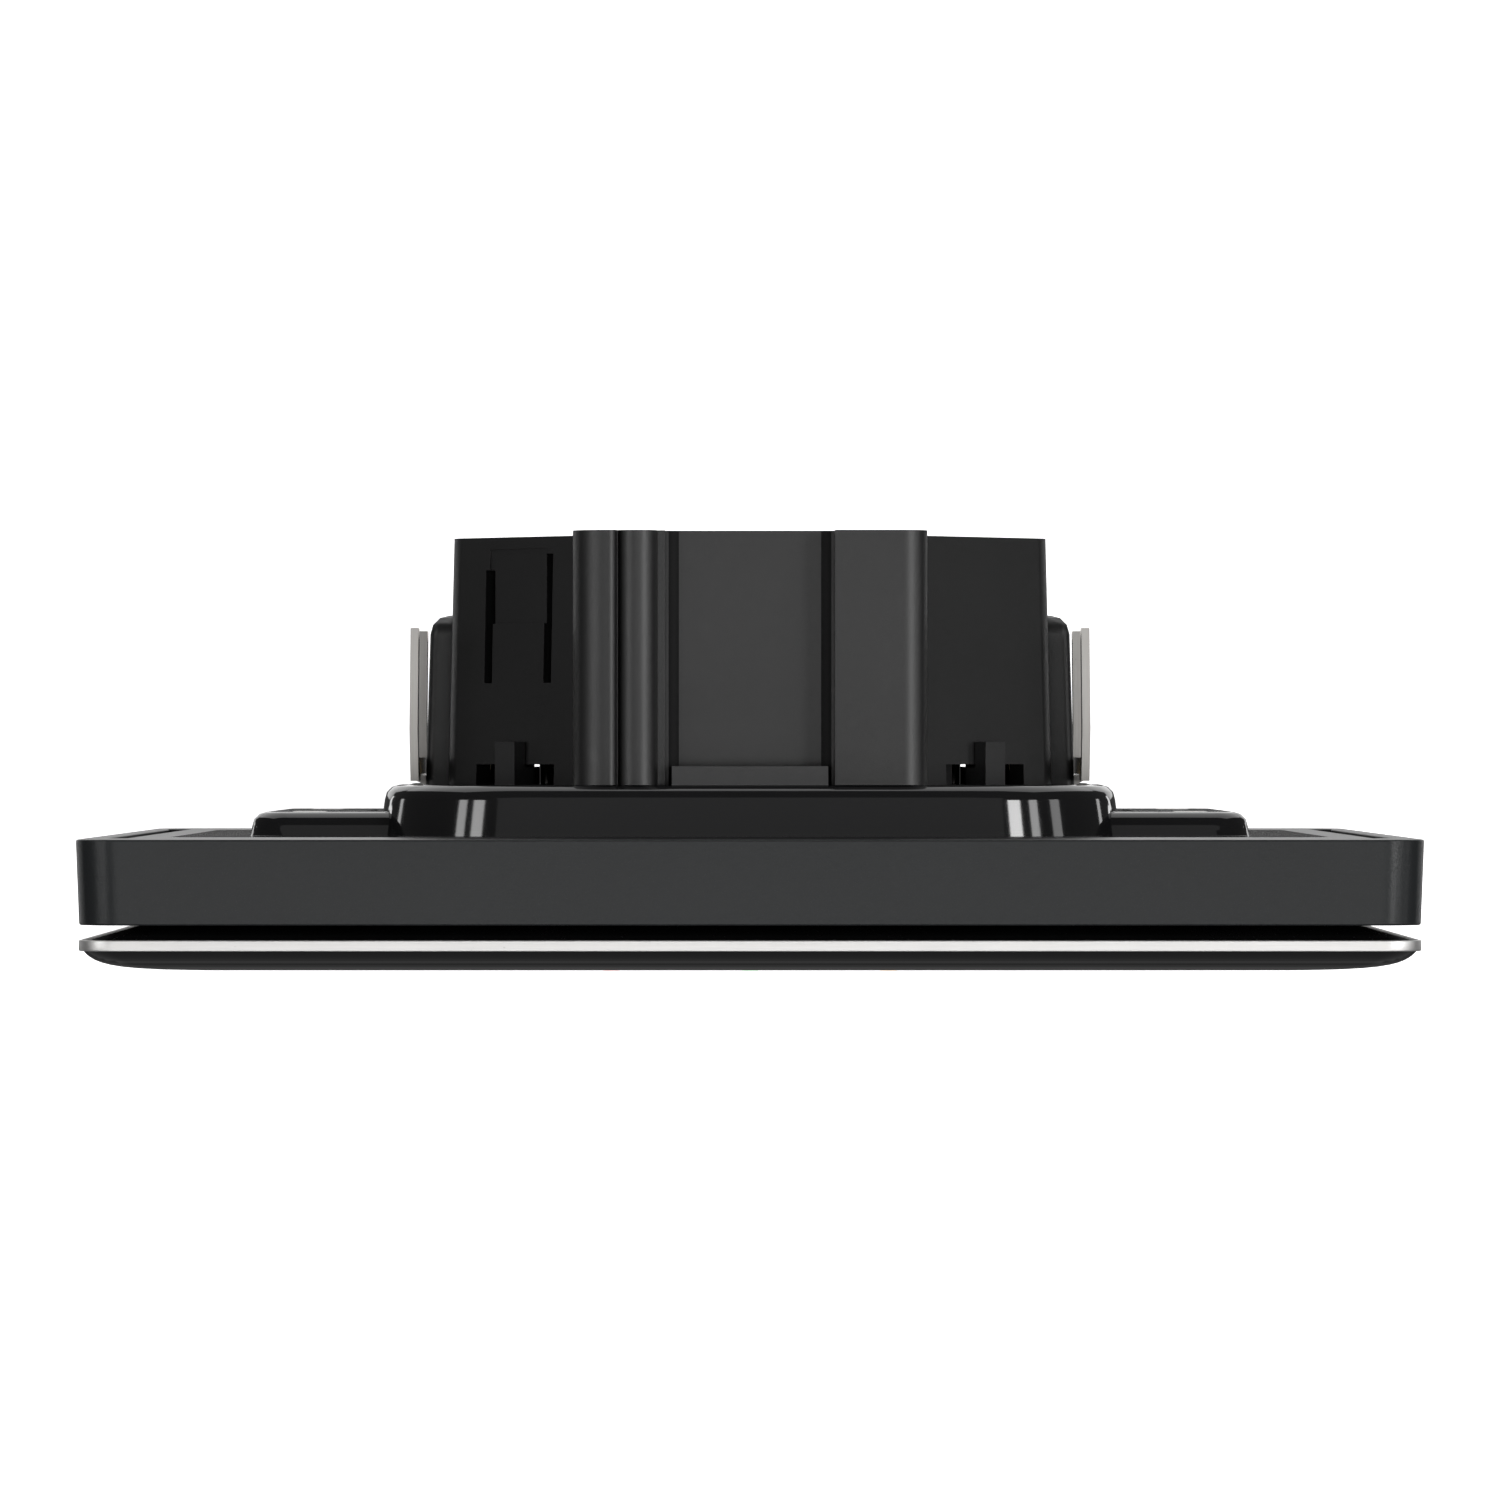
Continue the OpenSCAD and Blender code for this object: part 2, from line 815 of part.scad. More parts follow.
module rear_housing() {
    rear_wall = housing_rear - housing_wall;
    inner_base = base_w - 2 * housing_wall;
    inner_rear = housing_w - 2 * housing_wall;
    channel_out = claw_screw_x + nose_r + nut_room;
    color(matt_black)
        difference() {
            union() {
                difference() {
                    union() {
                        octagon_block(base_w, housing_w, platform_t, housing_rear);
                        soft_slab(
                            housing_w + 2 * pod_out, pod_h, pod_edge, platform_t,
                            pod_rear, pod_soft - thin, pod_flare
                        );
                        along_y(platform_t, column_rear)
                            difference() {
                                columns_outline();
                                recess_outline();
                            }
                    }
                    octagon_block(inner_base, inner_rear, platform_t - thin, rear_wall);
                    along_y(platform_t - past, rear_wall)
                        columns_hollow();
                    both_sides()
                        translate([pivot[0], platform_t - past, -nut_h / 2 - nut_room])
                            cube([
                                channel_out - pivot[0],
                                pod_rear - housing_wall - platform_t + past,
                                nut_h + 2 * nut_room
                            ]);
                }
                intersection() {
                    octagon_block(base_w, housing_w, platform_t, housing_rear);
                    bay(bay_wall, bay_floor - bay_wall, housing_rear);
                }
            }
            bay(0, bay_floor, housing_rear + past);
            block(
                plug_w - 2 * bay_wall, header_window_h, bay_floor - bay_wall - past,
                bay_floor + past, [0, bus_pin_z]
            );
            both_sides()
                translate([foot_cut_from, platform_t - past, -foot_half - fit / 2])
                    cube([
                        claw_out + 2 * past, band_top - platform_t + past,
                        2 * foot_half + fit
                    ]);
            on_slants()
                slant_block(
                    base_w / 2 - 2 * housing_wall, base_w / 2 + past, window_t,
                    platform_t - past, platform_t + window_h
                );
            tongue_cuts();
        }
}

// ---- electronics --------------------------------------------------------------------------

module main_board() {
    color(board_green)
        difference() {
            along_y(board_front, board_rear)
                octagon(board_w);
            for (spot = post_spots)
                rod(board_screw_r + run, board_front - past, board_rear + past, spot);
        }
}

module board_screws() {
    color(steel)
        for (spot = post_spots)
            difference() {
                union() {
                    rod(board_screw_r, board_rear - board_screw_len + thin, board_rear, spot);
                    rod(
                        board_screw_head_r, board_rear, board_rear + board_screw_head_h,
                        spot
                    );
                }
                block(
                    2 * board_screw_head_r + past, board_screw_slot, board_rear + slot_depth,
                    board_rear + board_screw_head_h + past, spot
                );
            }
}

module link_socket() {
    hole = link_pin + pin_ease;
    color(chip_black)
        difference() {
            block(link_w[0], link_w[1], link_socket_front, board_front, [0, link_z]);
            at_link_pins()
                block(hole, hole, link_socket_front - past, link_pin_tip + past);
        }
}

module at_poles() {
    for (i = [0:poles - 1])
        translate([(i - (poles - 1) / 2) * pole_pitch, 0, 0])
            children();
}

module bus_header() {
    color(chip_black)
        difference() {
            block(header_w, header_h, board_rear, board_rear + header_t, [0, bus_pin_z]);
            at_poles()
                block(
                    bus_pin, bus_pin, board_rear - past, board_rear + header_t + past,
                    [0, bus_pin_z]
                );
        }
}

module bus_pins() {
    color(brass)
        at_poles()
            block(bus_pin, bus_pin, board_rear, plug_front + bus_pin_len, [0, bus_pin_z]);
}

module microcontroller() {
    color(chip_black)
        block(chip_size[0], chip_size[1], board_rear, board_rear + chip_size[2], chip_at);
}

module bus_transceiver() {
    color(chip_black)
        block(
            driver_size[0], driver_size[1], board_rear, board_rear + driver_size[2],
            driver_at
        );
}

module supply_coil() {
    color([0.25, 0.24, 0.23])
        along_y(board_rear, board_rear + coil_size[2])
            translate(coil_at)
                rounded(coil_size[0], coil_size[1], coil_corner);
}

module capacitors() {
    color([0.6, 0.6, 0.62])
        for (spot = can_spots)
            rod(can_r, board_rear, board_rear + can_len, spot);
}

module piezo_sounder() {
    color(chip_black)
        difference() {
            rod(sounder_r, sounder_front, board_front, sounder_at);
            rod(
                sounder_hole_r, sounder_front - past, sounder_front + sounder_hole,
                sounder_at
            );
        }
}

// ---- tamper switch ------------------------------------------------------------------------

module tamper_switch() {
    bore_end = switch_front + plunger_in + plunger_travel + pin_ease;
    color(chip_black)
        difference() {
            block(switch_w, switch_w, switch_front, board_front, switch_at);
            rod(plunger_r + run, switch_front - past, bore_end, switch_at);
        }
}

module tamper_plunger() {
    color([0.85, 0.85, 0.82]) {
        rod(plunger_r, plunger_tip, switch_front + plunger_in, switch_at);
        rod(
            plunger_flange_r, plunger_flange, plunger_flange + plunger_flange_t,
            switch_at
        );
    }
}

// A coil of round wire, swept along a helix and closed by its two end discs
function coil_at_turn(turn, lead) =
    [spring_r * cos(360 * turn), lead * turn, spring_r * sin(360 * turn)];

function coil_ring(turn, lead) = [
    for (i = [0:spring_sides - 1])
        let (around = 360 * i / spring_sides)
            coil_at_turn(turn, lead)
                + spring_wire_r * cos(around) * [cos(360 * turn), 0, sin(360 * turn)]
                + spring_wire_r * sin(around) * [0, 1, 0]
];

module coil(lead) {
    rings = round(spring_turns * spring_steps);
    points = [
        for (k = [0:rings])
            each coil_ring(k / spring_steps, lead)
    ];
    sides = [
        for (k = [0:rings - 1], i = [0:spring_sides - 1])
            let (a = k * spring_sides, b = a + spring_sides, j = (i + 1) % spring_sides)
                [a + i, a + j, b + j, b + i]
    ];
    first = [for (i = [spring_sides - 1:-1:0]) i];
    last = [for (i = [0:spring_sides - 1]) rings * spring_sides + i];
    polyhedron(points, concat([first], sides, [last]), convexity = 6);
}

module tamper_spring() {
    from = plunger_flange + plunger_flange_t + spring_wire_r + 2 * thin;
    to = switch_front - spring_wire_r - 2 * thin;
    color(steel)
        translate([switch_at[0], from, switch_at[1]])
            coil((to - from) / spring_turns);
}

// ---- claws --------------------------------------------------------------------------------

// The foot plate, sloping from the eye to the legs
module claw_foot() {
    translate([pivot[0], pivot[1], 0])
        rotate([0, 0, foot_angle])
            difference() {
                translate([0, -claw_t / 2, -foot_half])
                    cube([foot_len, claw_t, 2 * foot_half]);
                for (k = [-1, 1])
                    translate([-past, -past, k * (eye_half + foot_half / 2) - foot_half / 2])
                        cube([past + foot_neck, 2 * past, foot_half]);
                translate([foot_slot[0], -past, -foot_slot_w / 2])
                    cube([foot_slot[1] - foot_slot[0], 2 * past, foot_slot_w]);
            }
}

// The upright sheet, seen edge on: it leans out a little up to its bend, then back
module claw_edge(to) {
    x0 = leg_mid - claw_t / 2;
    x1 = leg_mid + claw_t / 2;
    lean = claw_bend * min(1, (to - foot_end[1]) / (claw_bend_y - foot_end[1]));
    polygon([
        [x0, foot_end[1] - claw_t / 2],
        [x1, foot_end[1] - claw_t / 2],
        [x1 + lean, min(to, claw_bend_y)],
        [x1, to],
        [x0, to],
        [x0 + lean, min(to, claw_bend_y)]
    ]);
}

module claw() {
    leg_z = (claw_span - claw_leg_w) / 2;
    color(steel)
        difference() {
            union() {
                claw_foot();
                translate([pivot[0], pivot[1], 0])
                    cylinder(r = eye_r, h = 2 * eye_half, center = true);
                along_z(claw_span)
                    polygon([
                        [leg_mid - claw_t / 2, foot_end[1] - claw_t / 2],
                        [leg_mid + claw_t / 2, foot_end[1] - claw_t / 2],
                        [leg_mid + claw_t / 2 + claw_bend / 2, band_top],
                        [leg_mid - claw_t / 2 + claw_bend / 2, band_top]
                    ]);
                for (k = [-1, 1])
                    translate([0, 0, k * leg_z])
                        along_z(claw_leg_w)
                            claw_edge(claw_tip);
            }
            translate([pivot[0], pivot[1], 0])
                cylinder(r = pin_r + run, h = 2 * eye_half + past, center = true);
            for (k = [-1, 1])
                translate([leg_mid, claw_tip, k * leg_z])
                    rotate([0, 90, 0])
                        cylinder(r = tooth, h = past + claw_t, center = true, $fn = 4);
        }
}

module claw_left() {
    mirror([1, 0, 0])
        claw();
}

module claw_right() {
    claw();
}

// The nut rides on the screw and pushes the foot plate with its round nose
module claw_nut() {
    color(brass)
        difference() {
            union() {
                translate([claw_screw_x, nose_y, 0])
                    cylinder(r = nose_r, h = nut_h, center = true);
                block(2 * nose_r, nut_h, nose_y, nut_rear, [claw_screw_x, 0]);
            }
            rod(
                claw_screw_r + run, nose_y - nose_r - past, nut_rear + past,
                [claw_screw_x, 0]
            );
        }
}

module claw_nut_left() {
    mirror([1, 0, 0])
        claw_nut();
}

module claw_nut_right() {
    claw_nut();
}

module claw_screw() {
    head_front = -plate_t - claw_screw_head_h;
    color(steel)
        difference() {
            union() {
                rod(claw_screw_r, -plate_t - thin, claw_screw_tip, [claw_screw_x, 0]);
                rod(claw_screw_head_r, head_front, -plate_t, [claw_screw_x, 0]);
            }
            block(
                2 * claw_screw_head_r + past, claw_screw_slot, head_front - past,
                head_front + slot_depth,
                [claw_screw_x, 0]
            );
        }
}

module claw_screw_left() {
    mirror([1, 0, 0])
        claw_screw();
}

module claw_screw_right() {
    claw_screw();
}

// ---- bus plug -----------------------------------------------------------------------------

module bus_plug() {
    plug_rear = plug_front + plug_len;
    low_z = plug_top_z - plug_h;
    pin_hole = bus_pin + pin_ease;
    color([0.12, 0.3, 0.16])
        difference() {
            block(plug_w, plug_h, plug_front, plug_rear, [0, plug_top_z - plug_h / 2]);
            at_poles() {
                block(
                    pin_hole, pin_hole, plug_front - past, plug_front + bus_pin_len + 2 * fit,
                    [0, bus_pin_z]
                );
                translate([0, wire_y, low_z - past])
                    cylinder(r = wire_r, h = clamp_screw_z - low_z + past);
                rod(
                    clamp_screw_r + run, clamp_screw_front, plug_rear + past,
                    [0, clamp_screw_z]
                );
            }
        }
}

module bus_plug_screws() {
    screw_rear = plug_front + plug_len - clamp_screw_sink;
    color(steel)
        at_poles()
            difference() {
                rod(clamp_screw_r, clamp_screw_front, screw_rear, [0, clamp_screw_z]);
                block(
                    2 * clamp_screw_r + past, clamp_screw_slot, screw_rear - slot_depth,
                    screw_rear + past,
                    [0, clamp_screw_z]
                );
            }
}

// ---- the nodes ----------------------------------------------------------------------------

surround_frame();
support_carrier();
rear_housing();
claw_pins();
cover_clips();
main_board();
board_screws();
link_socket();
bus_header();
bus_pins();
microcontroller();
bus_transceiver();
supply_coil();
capacitors();
piezo_sounder();
tamper_switch();
tamper_spring();
tamper_plunger();
claw_left();
claw_right();
claw_nut_left();
claw_nut_right();
claw_screw_left();
claw_screw_right();
bus_plug();
bus_plug_screws();
trim_rim();
cover_glass();
glass_tape();
cover_back();
light_guide();
touch_board();
touch_chip();
key_leds();
link_plug();
link_pins();
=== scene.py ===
"""A flush alarm keypad panel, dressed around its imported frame.

The moulded and stamped pieces are copies of the frame's solids with their edges softened. The
glass, its printed keys and the terminal numbers are made here. Everything is in metres.
"""

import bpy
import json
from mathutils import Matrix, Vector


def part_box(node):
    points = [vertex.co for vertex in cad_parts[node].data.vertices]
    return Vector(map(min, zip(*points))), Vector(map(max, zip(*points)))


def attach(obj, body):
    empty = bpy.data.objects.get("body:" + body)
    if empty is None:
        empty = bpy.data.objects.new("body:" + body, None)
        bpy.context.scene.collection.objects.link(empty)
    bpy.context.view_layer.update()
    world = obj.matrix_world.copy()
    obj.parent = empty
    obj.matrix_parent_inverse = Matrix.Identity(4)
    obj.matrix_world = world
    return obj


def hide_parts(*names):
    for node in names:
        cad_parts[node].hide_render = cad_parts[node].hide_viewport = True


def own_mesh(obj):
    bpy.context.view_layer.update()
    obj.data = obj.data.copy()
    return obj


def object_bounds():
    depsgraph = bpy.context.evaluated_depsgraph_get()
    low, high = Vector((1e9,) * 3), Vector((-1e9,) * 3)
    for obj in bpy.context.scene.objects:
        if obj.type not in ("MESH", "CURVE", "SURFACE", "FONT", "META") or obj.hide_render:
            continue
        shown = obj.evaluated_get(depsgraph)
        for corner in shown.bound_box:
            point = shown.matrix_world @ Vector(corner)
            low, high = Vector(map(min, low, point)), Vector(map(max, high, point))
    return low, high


bl_info = {
    "name": "Flush Alarm Keypad",
    "version": (1, 0, 0),
    "blender": (4, 5, 0),
    "location": "3D View > Sidebar > Keypad",
    "description": "Dresses the packed keypad panel in its finished surfaces",
    "category": "Object",
}

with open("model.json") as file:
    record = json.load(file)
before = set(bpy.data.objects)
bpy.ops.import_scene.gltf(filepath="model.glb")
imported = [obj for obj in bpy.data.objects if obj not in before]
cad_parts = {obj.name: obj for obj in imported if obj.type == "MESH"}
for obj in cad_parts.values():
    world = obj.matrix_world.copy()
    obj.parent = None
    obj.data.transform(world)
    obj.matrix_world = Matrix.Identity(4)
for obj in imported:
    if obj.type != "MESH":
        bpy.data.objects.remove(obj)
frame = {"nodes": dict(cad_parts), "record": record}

import json
from math import pi, radians, tan

import bmesh
import bpy
from bpy.props import FloatProperty, FloatVectorProperty, PointerProperty
from bpy.types import Operator, Panel, PropertyGroup
from mathutils import Matrix, Vector
from mathutils.bvhtree import BVHTree

CAD_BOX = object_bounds()
MM = 0.001
NODES = frame["nodes"]
BEHAVIOUR = frame["record"]["behaviour"]
BODY_OF = {node: body for body, nodes in BEHAVIOUR["bodies"].items() for node in nodes}
SLOT_OF = {part["node"]: part["material_slot"] for part in frame["record"]["subparts"]}


# ---- sizes and colours -----------------------------------------------------------------------

def length(name, description, default):
    return FloatProperty(
        name=name, description=description, default=default, min=0.0, unit="LENGTH",
        subtype="DISTANCE", precision=5,
    )


def colour(name, description, default):
    return FloatVectorProperty(
        name=name, description=description, default=default, size=3, min=0.0, max=1.0,
        subtype="COLOR",
    )


class KeypadSizes(PropertyGroup):
    frame_edge: length("Frame edge", "Softness of the surround frame's edges", 0.16 * MM)
    rim_edge: length("Rim edge", "Softness of the steel rim's edges", 0.07 * MM)
    carrier_edge: length("Carrier edge", "Softness of the carrier's sharp edges", 0.04 * MM)
    housing_edge: length("Housing edge", "Softness of the rear housing's edges", 0.05 * MM)
    corner_round: length("Housing corner", "Softness of the housing's long side corners", 0.8 * MM)
    sheet_edge: length("Sheet edge", "Softness of the stamped claws' edges", 0.03 * MM)
    tray_edge: length("Tray edge", "Softness of the cover back's edges", 0.08 * MM)
    pin_edge: length("Pin edge", "Softness of the tamper plunger's edges", 0.06 * MM)
    screw_edge: length("Screw edge", "Softness of the claw screws' edges", 0.05 * MM)
    nut_edge: length("Nut edge", "Softness of the claw nuts' edges", 0.04 * MM)
    plug_edge: length("Plug edge", "Softness of the bus plug's edges", 0.08 * MM)
    clamp_edge: length("Clamp screw edge", "Softness of the plug screws' edges", 0.03 * MM)
    digit_height: length("Digit height", "Height of the printed digits", 5.2 * MM)
    glass_edge: length("Glass edge", "Thickness of the glass at its edge", 0.3 * MM)
    print_proud: length("Print thickness", "How far the print stands on the glass", 0.012 * MM)
    dome_slack: length("Dome slack", "How far the finished glass stays inside its solid", 0.03 * MM)


class KeypadColours(PropertyGroup):
    lacquer: colour("Lacquer", "Anthracite of the surround frame", (0.0140, 0.0153, 0.0162))
    carrier: colour("Carrier", "Gloss black of the carrier", (0.007, 0.007, 0.0075))
    housing: colour("Housing", "Matt black of the rear housing", (0.0048, 0.0048, 0.0050))
    peg: colour("Pegs", "Matt black of the carrier's pegs and ledge", (0.014, 0.014, 0.0145))
    tray: colour("Tray", "Semi-gloss black of the cover's back", (0.006, 0.006, 0.0062))
    rim: colour("Rim", "Satin steel of the rim", (0.64, 0.634, 0.624))
    claw: colour("Claw", "Bright stamped sheet of the claws", (0.62, 0.60, 0.575))
    plating: colour("Plating", "Zinc plating of screws and pins", (0.68, 0.68, 0.66))
    brass: colour("Brass", "Machined brass of the claw nuts", (0.72, 0.54, 0.26))
    gold: colour("Gold", "Flashed contacts", (0.85, 0.66, 0.32))
    glass: colour("Glass", "Black backing of the glass", (0.004, 0.004, 0.0045))
    print_white: colour("Print", "Printed digits", (0.72, 0.74, 0.76))
    mask: colour("Solder mask", "Green of the boards", (0.012, 0.085, 0.04))
    plug: colour("Plug", "Green of the bus plug", (0.02, 0.17, 0.065))
    connector: colour("Connector", "Black of the small mouldings", (0.014, 0.014, 0.015))
    plunger: colour("Plunger", "Natural acetal", (0.74, 0.73, 0.69))


def sizes():
    return bpy.context.scene.keypad_sizes


def colours():
    return bpy.context.scene.keypad_colours


# ---- shader maths ----------------------------------------------------------------------------

class Value:
    """One output socket that takes plain arithmetic; each step adds a Math node."""

    def __init__(self, surface, socket):
        self.surface = surface
        self.socket = socket

    def math(self, operation, first, second):
        return self.surface.node("ShaderNodeMath", {"operation": operation}, {0: first, 1: second})

    def __add__(self, other):
        return self.math("ADD", self, other)

    def __radd__(self, other):
        return self.math("ADD", other, self)

    def __sub__(self, other):
        return self.math("SUBTRACT", self, other)

    def __rsub__(self, other):
        return self.math("SUBTRACT", other, self)

    def __mul__(self, other):
        return self.math("MULTIPLY", self, other)

    def __rmul__(self, other):
        return self.math("MULTIPLY", other, self)


class Surface:
    """A material and the nodes that feed its one shader."""

    def __init__(self, name, metallic=0.0, ior=1.5, **fixed):
        self.material = bpy.data.materials.new(name)
        self.material.use_nodes = True
        self.tree = self.material.node_tree
        self.tree.nodes.clear()
        self.shader = self.tree.nodes.new("ShaderNodeBsdfPrincipled")
        out = self.tree.nodes.new("ShaderNodeOutputMaterial")
        self.tree.links.new(self.shader.outputs[0], out.inputs["Surface"])
        self.feed(Metallic=metallic, IOR=ior, **fixed)
        self.place = self.node("ShaderNodeTexCoord", {}, {}, "Object")

    def set(self, socket, value):
        if isinstance(value, Value):
            self.tree.links.new(value.socket, socket)
        elif isinstance(value, (tuple, list, Vector)) and socket.type == "RGBA" and len(value) == 3:
            socket.default_value = (*value, 1.0)
        else:
            socket.default_value = value

    def node(self, kind, settings, inputs, output=0):
        """Adds a node with its settings, feeds its sockets and returns one output."""
        made = self.tree.nodes.new(kind)
        for name, value in settings.items():
            setattr(made, name, value)
        for name, value in inputs.items():
            self.set(made.inputs[name], value)
        return Value(self, made.outputs[output])

    def feed(self, **values):
        """Links or sets the shader's own sockets."""
        for name, value in values.items():
            self.set(self.shader.inputs[name.replace("_", " ")], value)

    def mapped(self, scale=(1, 1, 1), turn=(0, 0, 0)):
        return self.node(
            "ShaderNodeMapping", {}, {"Vector": self.place, "Rotation": turn, "Scale": scale},
        )

    def noise(self, size, detail=3.0, rough=0.5, at=None):
        """Noise whose grains are about size across."""
        return self.node(
            "ShaderNodeTexNoise", {"noise_dimensions": "3D"},
            {"Vector": at or self.place, "Scale": 1.0 / size, "Detail": detail, "Roughness": rough},
        )

    def cells(self, size):
        """Distance from the middle of cells about size across."""
        return self.node(
            "ShaderNodeTexVoronoi", {"feature": "F1"}, {"Vector": self.place, "Scale": 1.0 / size},
        )

    def part(self, value, low, high, to_low=0.0, to_high=1.0):
        """Maps low..high to to_low..to_high, held at both ends."""
        return self.node(
            "ShaderNodeMapRange", {"clamp": True},
            {
                "Value": value, "From Min": low, "From Max": high,
                "To Min": to_low, "To Max": to_high,
            },
        )

    def blend(self, factor, first, second):
        """A colour between two."""
        return self.node(
            "ShaderNodeMix", {"data_type": "RGBA"}, {0: factor, 6: first, 7: second}, 2,
        )

    def axis(self, index):
        return self.node("ShaderNodeSeparateXYZ", {}, {0: self.place}, index)

    def bump(self, height, depth, strength):
        inputs = {"Height": height, "Distance": depth, "Strength": strength}
        self.feed(Normal=self.node("ShaderNodeBump", {}, inputs))


def tinted(base, share):
    return tuple(min(1.0, part * share) for part in base)


def lacquer():
    """Anthracite lacquer with fine metal flakes under a satin coat."""
    base = tuple(colours().lacquer)
    s = Surface("anthracite_lacquer", Specular_IOR_Level=0.18)
    cloud = s.noise(9 * MM, 4.0)
    flake = s.part(s.cells(0.11 * MM), 0.05, 0.32, 1.0, 0.0)
    grain = s.noise(0.16 * MM, 2.0)
    tone = s.blend(s.part(cloud, 0.35, 0.65), tinted(base, 0.95), tinted(base, 1.06))
    s.feed(
        Base_Color=s.blend(flake * s.part(grain, 0.4, 0.7) * 0.5, tone, tinted(base, 2.4)),
        Roughness=0.25 + 0.10 * grain + 0.03 * cloud,
    )
    s.bump(grain + 0.4 * s.noise(0.5 * MM, 2.0), 0.012 * MM, 0.7)
    return s.material


def gloss_black():
    """A polished black moulding with faint sink waves, dust and hairlines."""
    base = tuple(colours().carrier)
    s = Surface("gloss_black")
    wave = s.noise(14 * MM, 2.0)
    dust = s.part(s.noise(0.35 * MM, 5.0, 0.7), 0.70, 0.78)
    hair = s.part(s.noise(1.2 * MM, 2.0, 0.5, s.mapped((1.0, 0.06, 1.0))), 0.62, 0.72)
    s.feed(
        Base_Color=s.blend(dust * 0.5, base, tinted(base, 4.0)),
        Roughness=0.055 + 0.05 * wave + 0.18 * dust + 0.05 * hair,
    )
    s.bump(wave, 0.05 * MM, 0.25)
    return s.material


FINE_GRAIN, FINE_DEPTH = 0.14 * MM, 0.010 * MM
DEEP_GRAIN, DEEP_DEPTH = 0.22 * MM, 0.016 * MM


def spark_black(name, base, rough, grain, depth, gloss=0.52):
    """A black moulding with the even grain of a spark-eroded mould."""
    s = Surface(name, Specular_IOR_Level=gloss)
    pits = s.noise(grain, 3.0, 0.6)
    cloud = s.noise(7 * MM, 3.0)
    worn = s.part(s.noise(2.2 * MM, 4.0, 0.6), 0.62, 0.80)
    tone = s.blend(s.part(cloud, 0.3, 0.7), tinted(base, 0.88), tinted(base, 1.12))
    s.feed(
        Base_Color=s.blend(worn * 0.25, tone, tinted(base, 1.9)),
        Roughness=rough - 0.05 + 0.08 * pits + 0.05 * cloud - 0.06 * worn,
    )
    s.bump(pits + 0.3 * s.noise(grain * 5, 2.0), depth, 0.8)
    return s.material


def brushed(name, base, rough, along, streak, depth):
    """Metal with fine lines along one axis; streak is the width of a line."""
    s = Surface(name, metallic=1.0)
    stretch = [1.0, 1.0, 1.0]
    stretch["xyz".index(along)] = 0.02
    lines = s.noise(streak, 4.0, 0.6, s.mapped(tuple(stretch)))
    cloud = s.noise(5 * MM, 3.0)
    spots = s.part(s.noise(0.6 * MM, 4.0, 0.7), 0.68, 0.80)
    tone = s.blend(lines, tinted(base, 0.80), tinted(base, 1.10))
    s.feed(
        Base_Color=s.blend(spots * 0.6, tone, tinted(base, 0.45)),
        Roughness=rough - 0.05 + 0.12 * lines + 0.05 * cloud + 0.15 * spots,
    )
    s.bump(lines, depth, 0.6)
    return s.material


def plated(name, base, rough):
    """Passivated plating: cloudy, slightly yellow and blue in places, with dull spots."""
    s = Surface(name, metallic=1.0)
    cloud = s.noise(1.6 * MM, 4.0, 0.6)
    grain = s.noise(0.12 * MM, 2.0)
    dull = s.part(s.noise(0.5 * MM, 5.0, 0.7), 0.62, 0.75)
    warm = (base[0], base[1] * 0.96, base[2] * 0.82)
    cool = (base[0] * 0.90, base[1] * 0.95, base[2])
    tone = s.blend(s.part(cloud, 0.35, 0.65), warm, cool)
    s.feed(
        Base_Color=s.blend(dull, tone, tinted(base, 0.55)),
        Roughness=rough + 0.18 * cloud + 0.08 * grain,
    )
    s.bump(grain, 0.006 * MM, 0.6)
    return s.material


def black_glass():
    """Black-backed glass: a clear hard gloss with faint wipe marks."""
    base = tuple(colours().glass)
    s = Surface("black_glass", ior=1.52, Coat_IOR=1.52)
    wipe = s.noise(6 * MM, 4.0, 0.6, s.mapped((1.0, 1.0, 0.25), turn=(0, radians(35), 0)))
    dust = s.part(s.noise(0.22 * MM, 5.0, 0.7), 0.73, 0.80)
    s.feed(
        Base_Color=s.blend(dust * 0.4, base, tinted(base, 9.0)),
        Roughness=0.02 + 0.035 * s.part(wipe, 0.45, 0.75) + 0.2 * dust,
    )
    s.bump(s.noise(25 * MM, 1.0), 0.04 * MM, 0.15)
    return s.material


def printed(name, base, glow=0.0):
    """Screen-printed ink, a little uneven at its edges."""
    s = Surface(name, Emission_Strength=glow)
    mottle = s.noise(0.25 * MM, 4.0, 0.65)
    tone = s.blend(s.part(mottle, 0.35, 0.7), tinted(base, 0.86), base)
    s.feed(Base_Color=tone, Roughness=0.38 + 0.16 * mottle)
    if glow:
        s.feed(Emission_Color=tone)
    s.bump(mottle, 0.004 * MM, 0.5)
    return s.material


def solder_mask():
    """Green mask over copper tracks, with bare pads."""
    base = tuple(colours().mask)
    s = Surface("solder_mask")
    tracks = s.node(
        "ShaderNodeTexBrick", {"offset": 0.5, "squash": 1.0},
        {
            "Vector": s.mapped(turn=(radians(90), 0, 0)), "Scale": 1.0 / (2.6 * MM),
            "Mortar Size": 0.07, "Mortar Smooth": 0.2, "Brick Width": 1.7, "Row Height": 0.5,
        }, 1,
    )
    pads = s.part(s.cells(1.5 * MM), 0.13, 0.17, 1.0, 0.0)
    weave = s.noise(0.4 * MM, 2.0)
    mask = s.blend(tracks, base, tinted(base, 2.1))
    s.feed(
        Base_Color=s.blend(pads, mask, (0.62, 0.60, 0.52)),
        Metallic=pads * 0.9,
        Roughness=0.32 + 0.12 * weave - 0.08 * pads,
    )
    s.bump(tracks + 0.7 * pads + 0.15 * weave, 0.03 * MM, 0.7)
    return s.material


